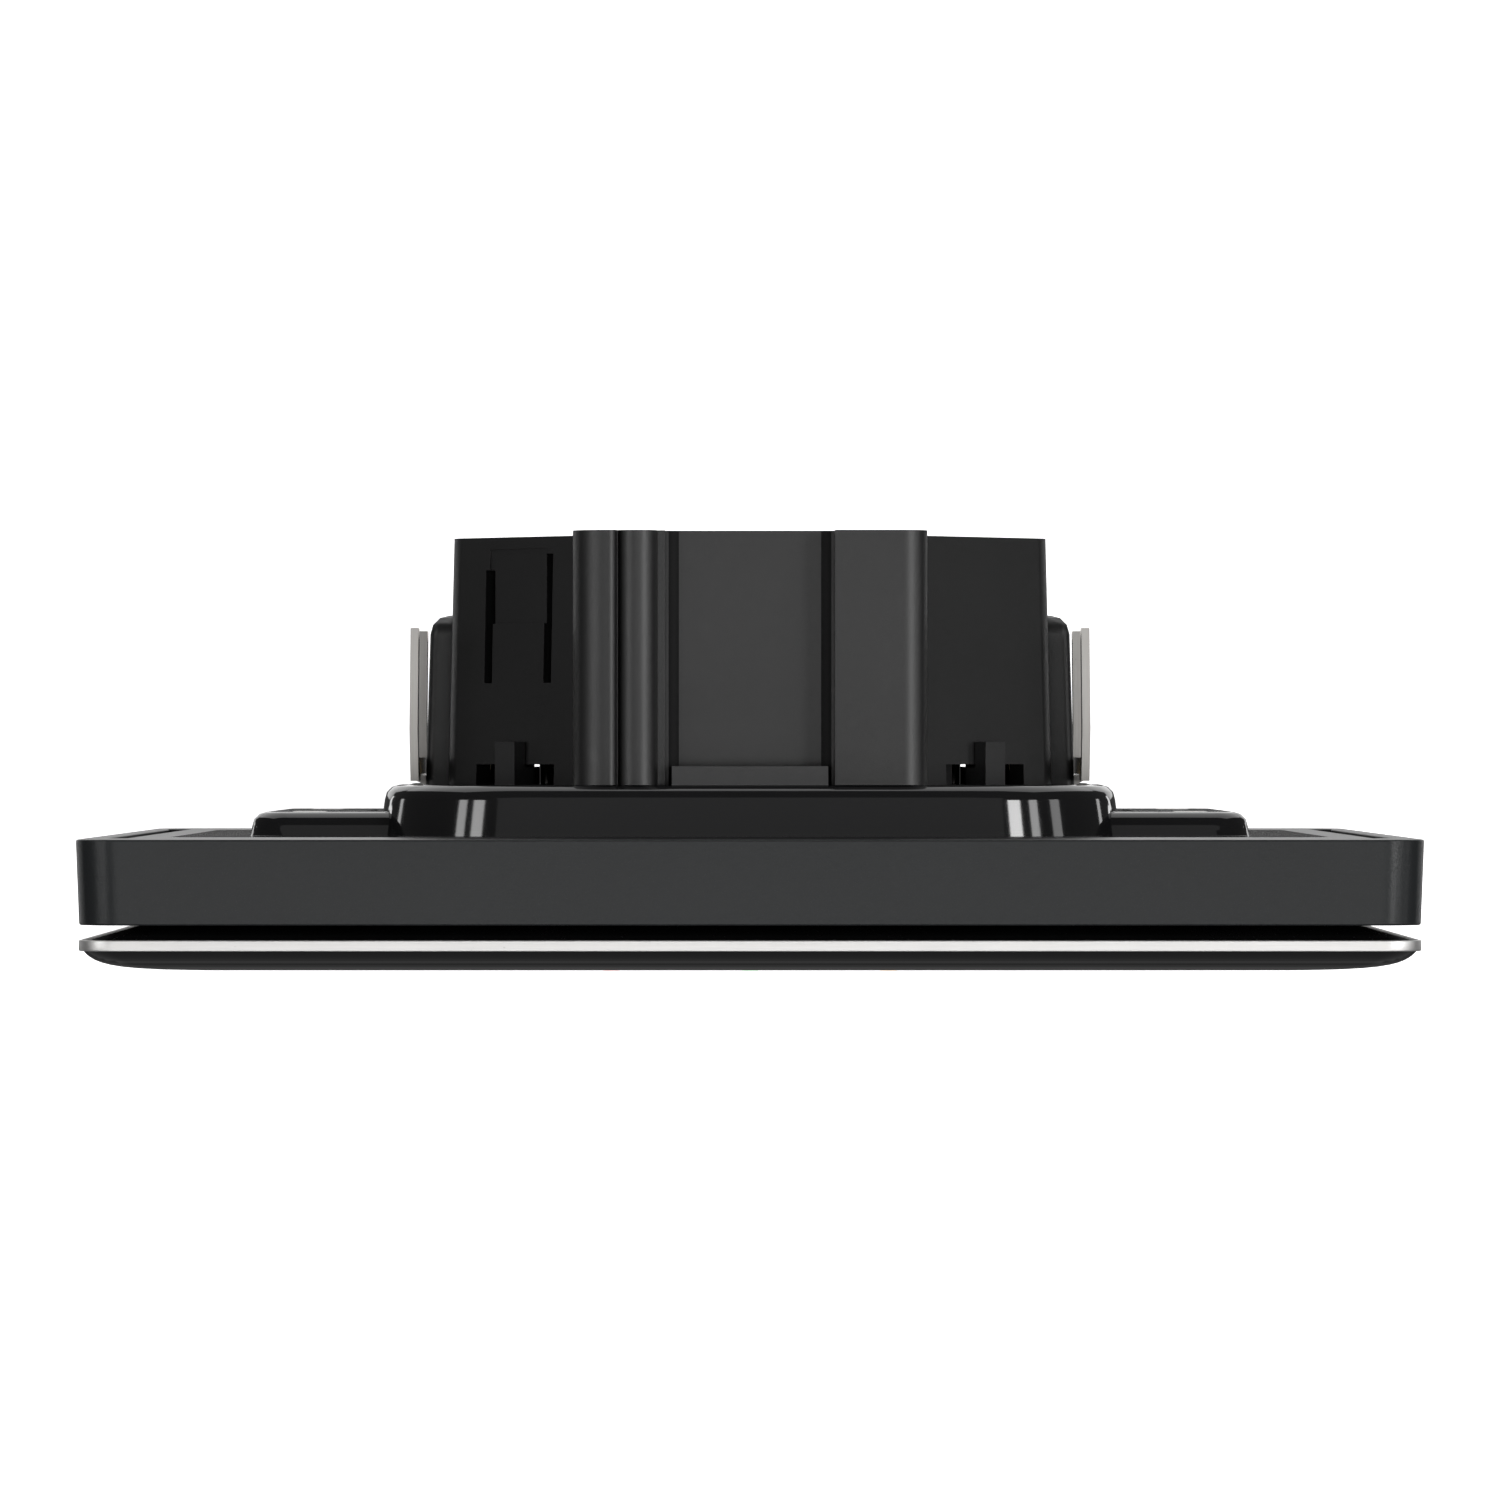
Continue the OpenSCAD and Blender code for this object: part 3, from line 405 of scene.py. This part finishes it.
def moulded(name, base, rough):
    """A small moulding in one colour: flow clouds, fine grain and a few rub marks."""
    s = Surface(name)
    cloud = s.noise(3 * MM, 3.0)
    grain = s.noise(0.18 * MM, 3.0, 0.6)
    rub = s.part(s.noise(0.9 * MM, 4.0, 0.7), 0.64, 0.78)
    tone = s.blend(s.part(cloud, 0.3, 0.7), tinted(base, 0.86), tinted(base, 1.12))
    s.feed(
        Base_Color=s.blend(rub * 0.3, tone, tinted(base, 1.7)),
        Roughness=rough + 0.10 * grain - 0.08 * rub,
    )
    s.bump(grain, 0.01 * MM, 0.7)
    return s.material


def chip_epoxy():
    """Matt epoxy with a coarse grain."""
    s = Surface("chip_epoxy")
    grain = s.noise(0.09 * MM, 4.0, 0.7)
    tone = s.blend(grain, (0.013, 0.013, 0.014), (0.030, 0.030, 0.032))
    s.feed(Base_Color=tone, Roughness=0.55 + 0.2 * grain)
    s.bump(grain, 0.02 * MM, 0.8)
    return s.material


def drawn_can():
    """A drawn aluminium can with dark printed stripes."""
    s = Surface("drawn_can", metallic=1.0)
    lines = s.noise(0.2 * MM, 3.0, 0.6, s.mapped((1.0, 0.05, 1.0)))
    stripe = s.axis(0)
    wave = s.node("ShaderNodeMath", {"operation": "SINE"}, {0: stripe * (pi / (6 * MM))})
    dark = s.part(wave, -0.60, -0.55, 1.0, 0.0)
    tone = s.blend(lines, (0.62, 0.62, 0.63), (0.80, 0.80, 0.81))
    s.feed(
        Base_Color=s.blend(dark, tone, (0.04, 0.05, 0.09)),
        Metallic=1.0 - 0.8 * dark,
        Roughness=0.28 + 0.16 * lines,
    )
    s.bump(lines, 0.006 * MM, 0.5)
    return s.material


def milky_guide():
    """Clear acrylic, frosted on its faces to spread the key lamps' light."""
    s = Surface("milky_guide", Transmission_Weight=0.35)
    frost = s.noise(0.3 * MM, 4.0, 0.6)
    s.feed(
        Base_Color=s.blend(frost, (0.70, 0.73, 0.76), (0.86, 0.88, 0.90)),
        Roughness=0.30 + 0.3 * frost,
    )
    s.bump(frost, 0.02 * MM, 0.6)
    return s.material


def lamp_lens():
    """A pale lamp body with its yellow die showing through."""
    s = Surface("lamp_lens")
    haze = s.noise(0.4 * MM, 3.0)
    s.feed(
        Base_Color=s.blend(s.part(haze, 0.4, 0.6), (0.86, 0.80, 0.45), (0.88, 0.88, 0.82)),
        Roughness=0.2 + 0.15 * haze,
    )
    return s.material


def closed_foam():
    """Black adhesive foam with fine cells."""
    s = Surface("closed_foam")
    cells = s.cells(0.25 * MM)
    s.feed(
        Base_Color=s.blend(s.part(cells, 0.1, 0.5), (0.010, 0.010, 0.010), (0.034, 0.034, 0.035)),
        Roughness=0.75 + 0.15 * cells,
    )
    s.bump(cells, 0.05 * MM, 0.8)
    return s.material


FINISH = {}


def finishes():
    """Every finish once, by the record's slot."""
    if not FINISH:
        c = colours()
        FINISH.update(
            frame_plastic=lacquer(),
            gloss_carrier=gloss_black(),
            housing_plastic=spark_black(
                "spark_black", tuple(c.housing), 0.44, FINE_GRAIN, FINE_DEPTH,
            ),
            tray_plastic=spark_black("tray_black", tuple(c.tray), 0.24, 0.30 * MM, 0.004 * MM),
            rim_steel=brushed("satin_rim", tuple(c.rim), 0.46, "x", 0.10 * MM, 0.003 * MM),
            claw_steel=brushed("claw_sheet", tuple(c.claw), 0.20, "y", 0.12 * MM, 0.004 * MM),
            plated_steel=plated("zinc_plating", tuple(c.plating), 0.24),
            brass_nut=plated("machined_brass", tuple(c.brass), 0.26),
            gold_contacts=plated("flashed_gold", tuple(c.gold), 0.18),
            black_glass=black_glass(),
            circuit_board=solder_mask(),
            chip_epoxy=chip_epoxy(),
            coil_ferrite=moulded("sintered_ferrite", (0.05, 0.048, 0.045), 0.6),
            capacitor_can=drawn_can(),
            connector_plastic=moulded("connector_black", tuple(c.connector), 0.40),
            plunger_plastic=moulded("natural_acetal", tuple(c.plunger), 0.34),
            plug_plastic=moulded("plug_green", tuple(c.plug), 0.38),
            guide_plastic=milky_guide(),
            led_lens=lamp_lens(),
            foam_tape=closed_foam(),
        )
    return FINISH


# ---- making pieces ---------------------------------------------------------------------------

WELD = 0.015 * MM
FLAT_ANGLE = radians(0.6)
SHARP_ANGLE = radians(35)
DRAFT = 0.12
DIGIT_SHARE = 0.73  # height of a digit as a share of its type size


def finish_piece(bm, name, body, slot, material=None, sharp=38.0, even=True, second=None):
    """Turns a bmesh into a piece that rides on a body, with its slot's finish or another one."""
    for face in bm.faces:
        face.smooth = True
    for edge in bm.edges:
        edge.smooth = len(edge.link_faces) == 2 and edge.calc_face_angle(pi) < radians(sharp)
    mesh = bpy.data.meshes.new(name)
    bm.to_mesh(mesh)
    bm.free()
    mesh.materials.append(material or finishes()[slot])
    if second:
        mesh.materials.append(second)
    piece = bpy.data.objects.new(name, mesh)
    bpy.context.scene.collection.objects.link(piece)
    if even:
        weighted = piece.modifiers.new("even shading", "WEIGHTED_NORMAL")
        weighted.mode = "FACE_AREA_WITH_ANGLE"
        weighted.keep_sharp = True
    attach(piece, body)
    return piece


def merged_copy(node):
    """A copy of a frame node's solid, with its loose triangles joined and its flat faces whole."""
    bm = bmesh.new()
    bm.from_mesh(NODES[node].data)
    bmesh.ops.remove_doubles(bm, verts=bm.verts, dist=WELD)
    bmesh.ops.dissolve_limit(bm, angle_limit=FLAT_ANGLE, verts=bm.verts, edges=bm.edges)
    return bm


def soften(bm, width, segments=2, choose=lambda edge: True):
    """Rounds the sharp edges that choose picks."""
    picked = [
        edge for edge in bm.edges
        if len(edge.link_faces) == 2 and edge.calc_face_angle(0.0) > SHARP_ANGLE and choose(edge)
    ]
    bmesh.ops.bevel(
        bm, geom=picked, offset=width, offset_type="OFFSET", affect="EDGES", segments=segments,
        profile=0.5, material=-1, clamp_overlap=True,
    )


def middle(edge):
    return (edge.verts[0].co + edge.verts[1].co) / 2


def along(edge, axis):
    """Whether an edge runs along X, Y or Z (0, 1, 2), within a slight draft."""
    way = edge.verts[1].co - edge.verts[0].co
    return abs(way[axis]) > (1 - DRAFT) * way.length


def soft_copy(node, name, width, segments=2):
    """The usual piece: a node's copy with soft edges that stands for the node."""
    bm = merged_copy(node)
    soften(bm, width, segments)
    piece = finish_piece(bm, name, BODY_OF[node], SLOT_OF[node])
    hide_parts(node)
    return piece


def flat_digit(mark, height):
    """One digit as a flat mesh in the XY plane, centred on the origin."""
    text = bpy.data.curves.new(f"digit_{mark}", "FONT")
    text.body, text.size, text.resolution_u = mark, height / DIGIT_SHARE, 4
    holder = bpy.data.objects.new(text.name, text)
    bpy.context.scene.collection.objects.link(holder)
    shown = holder.evaluated_get(bpy.context.evaluated_depsgraph_get())
    flat = bpy.data.meshes.new_from_object(shown)
    bpy.data.objects.remove(holder)
    bpy.data.curves.remove(text)
    bm = bmesh.new()
    bm.from_mesh(flat)
    bpy.data.meshes.remove(flat)
    bmesh.ops.remove_doubles(bm, verts=bm.verts, dist=0.001 * MM)
    lows, highs = (
        Vector([pick(vert.co[i] for vert in bm.verts) for i in range(3)]) for pick in (min, max)
    )
    bmesh.ops.translate(bm, verts=bm.verts, vec=-(lows + highs) / 2)
    return bm


def new_verts(made):
    """The vertices among what an extrusion made."""
    return [item for item in made["geom"] if isinstance(item, bmesh.types.BMVert)]


class KeypadOperator:
    """What the keypad's operators share: run() makes the pieces and raises if it can't."""

    bl_options = {"REGISTER"}

    def execute(self, context):
        self.run()
        return {"FINISHED"}


class KEYPAD_OT_surround(KeypadOperator, Operator):
    """Make the square surround frame"""

    bl_idname = "keypad.surround"
    bl_label = "Surround frame"

    def run(self):
        soft_copy("surround_frame", "surround_frame_lacquered", sizes().frame_edge, 3)


class KEYPAD_OT_rim(KeypadOperator, Operator):
    """Make the satin steel rim"""

    bl_idname = "keypad.rim"
    bl_label = "Steel rim"

    def run(self):
        soft_copy("trim_rim", "steel_rim", sizes().rim_edge, 3)


class KEYPAD_OT_glass(KeypadOperator, Operator):
    """Make the domed glass"""

    bl_idname = "keypad.glass"
    bl_label = "Glass"

    # how far each ring of the dome lies inside the glass's edge, in millimetres
    rings = (0.08, 0.18, 0.32, 0.5, 0.75, 1.1, 1.6, 2.3, 3.2, 4.5, 6.5, 9.5, 14.0, 20.0)
    full_rise_at = 22 * MM
    soft = 1.2 * MM  # the dome has half its rise this far inside the edge
    corner = 2.0 * MM

    def run(self):
        low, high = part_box("cover_glass")
        width = high.x - low.x
        edge_front = high.y - sizes().glass_edge
        spread = (self.full_rise_at + self.soft) / self.full_rise_at
        rise = (edge_front - low.y) * spread - sizes().dome_slack
        bm = bmesh.new()
        bmesh.ops.create_cube(
            bm, size=1.0,
            matrix=Matrix.Translation((0, (edge_front + high.y) / 2, 0))
            @ Matrix.Diagonal((width, high.y - edge_front, width, 1)),
        )
        corners = [edge for edge in bm.edges if along(edge, 1)]
        bmesh.ops.bevel(
            bm, geom=corners, offset=self.corner, offset_type="OFFSET", affect="EDGES",
            segments=10, profile=0.5, material=-1,
        )
        front = min(bm.faces, key=lambda face: face.calc_center_median().y)
        half, level = width / 2, edge_front
        for ring in self.rings:
            inset = ring * MM
            made = bmesh.ops.extrude_face_region(bm, geom=[front])["geom"]
            front = next(item for item in made if isinstance(item, bmesh.types.BMFace))
            share = (width / 2 - inset) / half
            bmesh.ops.scale(bm, verts=front.verts, vec=(share, 1, share))
            lower = edge_front - rise * inset / (inset + self.soft)
            bmesh.ops.translate(bm, verts=front.verts, vec=(0, lower - level, 0))
            half, level = width / 2 - inset, lower
        bmesh.ops.recalc_face_normals(bm, faces=bm.faces)
        piece = finish_piece(bm, "domed_glass", "cover", "black_glass", sharp=60.0)
        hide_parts("cover_glass")


class KEYPAD_OT_print(KeypadOperator, Operator):
    """Make the printed keys and the status lamps on the glass"""

    bl_idname = "keypad.print"
    bl_label = "Printed keys"

    key_rows = ("123", "456", "789", "-0+")  # - stands for the cross and + for the tick
    glows = (
        ("armed", (0.75, 0.05, 0.03)), ("ready", (0.08, 0.6, 0.12)), ("fault", (0.8, 0.42, 0.04)),
    )
    key_lamp_w, key_lamp_h = 1.6 * MM, 0.8 * MM
    stroke = 0.55 * MM
    lamp_r, lamp_pitch, lamps_above = 0.55 * MM, 9 * MM, 0.62
    line_w, line_thick, line_below = 22 * MM, 0.35 * MM, 3.72
    longest_edge = 1.5 * MM
    clearance, drop = 0.01 * MM, 5 * MM

    def run(self):
        glass = bpy.data.objects["domed_glass"]
        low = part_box("cover_glass")[0].y
        tree = BVHTree.FromObject(glass, bpy.context.evaluated_depsgraph_get())
        lamps_low, lamps_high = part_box("key_leds")
        ink = printed("key_ink", tuple(colours().print_white), 0.15)
        across = (lamps_high.x - lamps_low.x - self.key_lamp_w) / 2
        up = (lamps_high.z - lamps_low.z - self.key_lamp_h) / 3
        top = lamps_high.z - self.key_lamp_h / 2
        for row, line in enumerate(self.key_rows):
            for column, mark in enumerate(line):
                at = Vector(((column - 1) * across, 0, top - row * up))
                if mark == "-":
                    bm = self.cross(at)
                elif mark == "+":
                    bm = self.tick(at)
                else:
                    bm = self.digit(mark, at)
                self.lay(bm, tree, low)
                name = {"-": "cancel", "+": "confirm"}.get(mark, mark)
                finish_piece(bm, f"key_print_{name}", "cover", "black_glass", ink, even=False)
        for index, (name, tint) in enumerate(self.glows):
            at = Vector(((index - 1) * self.lamp_pitch, 0, top + self.lamps_above * up))
            bm = self.dot(at, self.lamp_r)
            self.lay(bm, tree, low)
            glow = printed(f"lamp_{name}", tint, 1.2)
            finish_piece(bm, f"lamp_{name}", "cover", "black_glass", glow, even=False)
        at = Vector((0, 0, top - self.line_below * up))
        bm = self.bar(at, self.line_w, self.line_thick)
        self.lay(bm, tree, low)
        finish_piece(bm, "hand_line", "cover", "black_glass", ink, even=False)

    def lay(self, bm, tree, low):
        """Drops a flat print on the dome and gives it its thickness."""
        long = [edge for edge in bm.edges if edge.calc_length() > self.longest_edge]
        bmesh.ops.subdivide_edges(bm, edges=long, cuts=2, use_grid_fill=True)
        for vert in bm.verts:
            start = Vector((vert.co.x, low - self.drop, vert.co.z))
            hit = tree.ray_cast(start, Vector((0, 1, 0)))[0]
            vert.co.y = hit.y + self.clearance
        made = bmesh.ops.extrude_face_region(bm, geom=list(bm.faces), use_keep_orig=True)
        for vert in new_verts(made):
            vert.co.y -= self.clearance + sizes().print_proud
        bmesh.ops.recalc_face_normals(bm, faces=bm.faces)

    def digit(self, mark, at):
        bm = flat_digit(mark, sizes().digit_height)
        turn = Matrix.Translation(at) @ Matrix.Rotation(radians(90), 4, "X")
        bmesh.ops.transform(bm, matrix=turn, verts=bm.verts)
        return bm

    def bar(self, at, long, thick, turn=0.0, bm=None):
        bm = bm or bmesh.new()
        place = (
            Matrix.Translation(at) @ Matrix.Rotation(turn, 4, "Y")
            @ Matrix.Rotation(radians(90), 4, "X") @ Matrix.Diagonal((long, thick, 1, 1))
        )
        bmesh.ops.create_grid(bm, x_segments=4, y_segments=1, size=0.5, matrix=place)
        return bm

    def cross(self, at):
        bm = self.bar(at, 4.6 * MM, self.stroke, radians(45))
        self.bar(at, 4.6 * MM, self.stroke, radians(-45), bm)
        return bm

    def tick(self, at):
        bm = self.bar(at + Vector((0.75, 0, 0.1)) * MM, 4.8 * MM, self.stroke, radians(-50))
        self.bar(at + Vector((-1.45, 0, -0.85)) * MM, 2.0 * MM, self.stroke, radians(45), bm)
        return bm

    def dot(self, at, radius):
        bm = bmesh.new()
        place = Matrix.Translation(at) @ Matrix.Rotation(radians(90), 4, "X")
        bmesh.ops.create_circle(bm, cap_ends=True, segments=24, radius=radius, matrix=place)
        return bm


class KEYPAD_OT_tray(KeypadOperator, Operator):
    """Make the back of the cover and its tamper plunger"""

    bl_idname = "keypad.tray"
    bl_label = "Cover back"

    def run(self):
        soft_copy("cover_back", "cover_tray", sizes().tray_edge)
        soft_copy("tamper_plunger", "tamper_pin", sizes().pin_edge)
        self.spring()

    def spring(self):
        """The spring as one whole copy of its node, riding on the node's body with a mesh of its
        own.
        """
        low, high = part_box("tamper_spring")
        press = next(joint for joint in BEHAVIOUR["joints"] if joint["name"] == "tamper_press")
        travel = press["range_m"][1]
        node = "tamper_spring"
        spring = finish_piece(merged_copy(node), "tamper_coil", BODY_OF[node], SLOT_OF[node])
        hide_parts(node)
        keep = 1 - travel / (high.y - low.y)
        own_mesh(spring)


class KEYPAD_OT_carrier(KeypadOperator, Operator):
    """Make the glossy carrier"""

    bl_idname = "keypad.carrier"
    bl_label = "Carrier"

    platform = 3.41 * MM
    slanted_from, straight_from = 26 * MM, 20.8 * MM

    def run(self):
        bm = merged_copy("support_carrier")
        soften(bm, sizes().carrier_edge)
        for face in bm.faces:
            face.material_index = int(self.is_matt(face))
        matt = spark_black("carrier_matt", tuple(colours().peg), 0.47, FINE_GRAIN, FINE_DEPTH)
        piece = finish_piece(bm, "gloss_carrier", "base", "gloss_carrier", second=matt)
        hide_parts("support_carrier")

    def is_matt(self, face):
        """Whether a face belongs to the pegs and the ledge, which stand round the platform."""
        at = face.calc_center_median()
        slanted = abs(at.x) + abs(at.z) > self.slanted_from
        return at.y > self.platform and (slanted or abs(at.z) > self.straight_from)


class KEYPAD_OT_housing(KeypadOperator, Operator):
    """Make the rear housing with its two columns and side pods"""

    bl_idname = "keypad.housing"
    bl_label = "Rear housing"

    half_width = 20 * MM
    shortest_corner, near = 4 * MM, 0.5 * MM
    cove_x = (4.65 * MM, 5.62 * MM)
    cove_z = (21.98 * MM, 22.95 * MM)
    cove_tilt = (0.05, 0.998)  # between the upright walls and the level bottom

    def run(self):
        bm = merged_copy("rear_housing")
        soften(bm, sizes().corner_round, 5, self.is_long_corner)
        soften(bm, sizes().housing_edge)
        # cove faces take the second material, a painted shade for the recess's inner corners
        for face in bm.faces:
            face.material_index = int(self.in_cove(face))
        black = tuple(colours().housing)
        # painted shade: the same black with little gloss and more roughness, so the cove reads dark
        # as if shadowed
        cove_shade = spark_black("painted_cove_shade", black, 0.62, DEEP_GRAIN, DEEP_DEPTH, 0.12)
        piece = finish_piece(bm, "matt_housing", "base", "housing_plastic", second=cove_shade)
        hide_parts("rear_housing")

    def is_long_corner(self, edge):
        """Whether an edge is a corner between a side flat and a slanted flat of the octagon."""
        at = middle(edge)
        off_x = abs(abs(at.x) - self.half_width)
        off_z = abs(abs(at.z) - self.half_width * tan(pi / 8))
        long = along(edge, 1) and edge.calc_length() > self.shortest_corner
        return long and off_x < self.near and off_z < self.near

    def in_cove(self, face):
        """Whether a face lies in the round inner corners of the recess between the columns, which
        get the painted shade.
        """
        at, way = face.calc_center_median(), face.normal
        inside = (
            self.cove_x[0] < abs(at.x) < self.cove_x[1] and self.cove_z[0] < at.z < self.cove_z[1]
        )
        return inside and self.cove_tilt[0] < way.z < self.cove_tilt[1] and abs(way.y) < 0.3


class KEYPAD_OT_claws(KeypadOperator, Operator):
    """Make the two spreading claws, their screws and their nuts"""

    bl_idname = "keypad.claws"
    bl_label = "Claws"

    level = 0.9  # the sheared edges face up or down at least this squarely

    def run(self):
        tint = tinted(colours().claw, 0.66)
        cut = brushed("sheared_edge", tint, 0.42, "y", 0.12 * MM, 0.008 * MM)
        for side in ("left", "right"):
            node = f"claw_{side}"
            bm = merged_copy(node)
            soften(bm, sizes().sheet_edge)
            for face in bm.faces:
                face.material_index = int(abs(face.normal.z) > self.level)
            piece = finish_piece(bm, f"stamped_{node}", BODY_OF[node], "claw_steel", second=cut)
            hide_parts(node)
            soft_copy(f"claw_screw_{side}", f"spread_screw_{side}", sizes().screw_edge)
            soft_copy(f"claw_nut_{side}", f"brass_nut_{side}", sizes().nut_edge)


class KEYPAD_OT_bus_plug(KeypadOperator, Operator):
    """Make the bus plug, its clamp screws and the numbers beside it"""

    bl_idname = "keypad.bus_plug"
    bl_label = "Bus plug"

    poles = 4
    screw_r = 1.3 * MM
    column_step = 0.2 * MM  # the columns end this much behind the housing's rear face
    above_plug, number_height, ink_depth = 1.9 * MM, 2.2 * MM, 0.02 * MM

    def run(self):
        soft_copy("bus_plug", "terminal_plug", sizes().plug_edge)
        soft_copy("bus_plug_screws", "clamp_screws", sizes().clamp_edge)
        low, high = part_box("bus_plug_screws")
        step = (high.x - low.x - 2 * self.screw_r) / (self.poles - 1)
        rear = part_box("rear_housing")[1].y - self.column_step
        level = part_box("bus_plug")[1].z + self.above_plug
        ink = printed("terminal_ink", tuple(colours().print_white))
        face_rear = Matrix.Rotation(pi, 4, "Z") @ Matrix.Rotation(radians(90), 4, "X")
        for index in range(self.poles):
            at = Vector((high.x - self.screw_r - index * step, rear, level))
            bm = flat_digit(str(index + 1), self.number_height)
            bmesh.ops.transform(bm, matrix=Matrix.Translation(at) @ face_rear, verts=bm.verts)
            made = bmesh.ops.extrude_face_region(bm, geom=list(bm.faces), use_keep_orig=True)
            bmesh.ops.translate(bm, verts=new_verts(made), vec=(0, self.ink_depth, 0))
            bmesh.ops.recalc_face_normals(bm, faces=bm.faces)
            name = f"terminal_number_{index + 1}"
            finish_piece(bm, name, "base", "housing_plastic", ink, even=False)


class KEYPAD_OT_boards(KeypadOperator, Operator):
    """Give the inner pieces their finishes"""

    bl_idname = "keypad.boards"
    bl_label = "Boards and inner pieces"

    def run(self):
        for node, piece in NODES.items():
            if not piece.hide_render:
                piece.data.materials.clear()
                piece.data.materials.append(finishes()[SLOT_OF[node]])


class KEYPAD_OT_stage(KeypadOperator, Operator):
    """Make the floor, the studio lights and the camera"""

    bl_idname = "keypad.stage"
    bl_label = "Stage"

    # name: degrees from straight up towards +X, degrees towards +Y, width, length, radiance
    cards = {
        "strip_left_1": (-43.2, 5.5, 0.091, 0.288, 7.5),
        "strip_left_2": (-56.9, 5.5, 0.073, 0.288, 6.5),
        "strip_right_1": (37.6, 5.5, 0.103, 0.288, 16.0),
        "strip_right_2": (53.6, 5.5, 0.073, 0.288, 7.0),
        "strip_right_3": (72.9, 5.5, 0.088, 0.288, 3.5),
        "kick_left_1": (-122.0, 2, 0.042, 0.20, 3.2),
        "kick_left_2": (-142.0, 2, 0.052, 0.20, 3.2),
        "kick_right_1": (122.0, 2, 0.042, 0.20, 3.2),
        "kick_right_2": (142.0, 2, 0.052, 0.20, 3.2),
        "over_top": (0, -8, 0.42, 0.21, 2.9),
        "over_front": (0, -30, 0.42, 0.16, 2.1),
        "over_rear": (0, 20, 0.60, 0.255, 0.30),
        "front_fill": (0, -108, 1.10, 0.90, 0.13),
        "rear_fill": (0, 112, 1.10, 0.80, 1.60),
        "low_rear": (0, 160, 0.80, 0.30, 1.2),
    }

    gloss_only = "low_rear"
    aim = (0, 0.004, 0.02)
    reach = 0.6
    camera_y, camera_z = 5.71 * MM, 628 * MM
    lens, sensor = 220.08, 36.0
    floor_half_width, floor_gap = 3.0, 0.1 * MM
    backdrop_radius = 2.9

    def run(self):
        self.world()
        bm = bmesh.new()
        bmesh.ops.create_grid(
            bm, x_segments=1, y_segments=1, size=self.floor_half_width,
            matrix=Matrix.Translation((0, 0, CAD_BOX[0].z - self.floor_gap)),
        )
        self.pale("floor", bm)
        self.backdrop()
        for name, (right, rear, width, long, radiance) in self.cards.items():
            self.card(name, radians(right), radians(rear), width, long, radiance)
        camera = bpy.data.objects.new("camera", bpy.data.cameras.new("camera"))
        camera.location = (0, self.camera_y, self.camera_z)
        camera.data.lens, camera.data.sensor_width = self.lens, self.sensor
        bpy.context.scene.collection.objects.link(camera)
        bpy.context.scene.camera = camera
        bpy.context.scene.view_settings.view_transform = "Standard"

    def world(self):
        world = bpy.data.worlds.new("studio")
        world.use_nodes = True
        sky = world.node_tree.nodes["Background"]
        sky.inputs["Color"].default_value = (0.08, 0.08, 0.08, 1)
        bpy.context.scene.world = world

    def pale(self, name, bm):
        """A white surface that shines evenly and is left out of reflections."""
        mesh = bpy.data.meshes.new(name)
        bm.to_mesh(mesh)
        bm.free()
        s = Surface(f"{name}_paper", Emission_Strength=1.0, Emission_Color=(1, 1, 1, 1))
        s.feed(Base_Color=(0.8, 0.8, 0.8), Roughness=0.9)
        mesh.materials.append(s.material)
        made = bpy.data.objects.new(name, mesh)
        made.visible_glossy = False
        made.visible_diffuse = False
        bpy.context.scene.collection.objects.link(made)
        return made

    def backdrop(self):
        """A wide pale shell round the stage, seen by the camera only."""
        bm = bmesh.new()
        bmesh.ops.create_uvsphere(bm, u_segments=48, v_segments=24, radius=self.backdrop_radius)
        bmesh.ops.reverse_faces(bm, faces=bm.faces)
        shell = self.pale("backdrop", bm)
        shell.visible_shadow = False
        return shell

    def card(self, name, right, rear, width, long, radiance):
        light = bpy.data.lights.new(name, "AREA")
        light.shape, light.size, light.size_y = "RECTANGLE", width, long
        light.energy = radiance * pi * width * long
        lamp = bpy.data.objects.new(name, light)
        turn = Matrix.Rotation(right, 4, "Y") @ Matrix.Rotation(-rear, 4, "X")
        out = Matrix.Translation((0, 0, self.reach))
        lamp.matrix_world = Matrix.Translation(self.aim) @ turn @ out
        lamp.visible_camera = False
        lamp.visible_diffuse = name != self.gloss_only
        bpy.context.scene.collection.objects.link(lamp)


STEPS = (
    KEYPAD_OT_surround, KEYPAD_OT_rim, KEYPAD_OT_glass, KEYPAD_OT_print, KEYPAD_OT_tray,
    KEYPAD_OT_carrier, KEYPAD_OT_housing, KEYPAD_OT_claws, KEYPAD_OT_bus_plug,
    KEYPAD_OT_boards, KEYPAD_OT_stage,
)


class KEYPAD_PT_panel(Panel):
    """Lists the keypad's steps, sizes and colours"""

    bl_idname = "KEYPAD_PT_panel"
    bl_label = "Alarm keypad"
    bl_space_type = "VIEW_3D"
    bl_region_type = "UI"
    bl_category = "Keypad"

    def draw(self, context):
        for step in STEPS:
            self.layout.operator(step.bl_idname)
        for group in (context.scene.keypad_sizes, context.scene.keypad_colours):
            box = self.layout.box()
            for name in group.__annotations__:
                box.prop(group, name)


CLASSES = (KeypadSizes, KeypadColours, *STEPS, KEYPAD_PT_panel)


def register():
    for entry in CLASSES:
        bpy.utils.register_class(entry)
    bpy.types.Scene.keypad_sizes = PointerProperty(type=KeypadSizes)
    bpy.types.Scene.keypad_colours = PointerProperty(type=KeypadColours)


def unregister():
    del bpy.types.Scene.keypad_colours
    del bpy.types.Scene.keypad_sizes
    for entry in reversed(CLASSES):
        bpy.utils.unregister_class(entry)


def main():
    register()
    for step in STEPS:
        group, name = step.bl_idname.split(".")
        getattr(getattr(bpy.ops, group), name)()


if __name__ == "__main__":
    main()
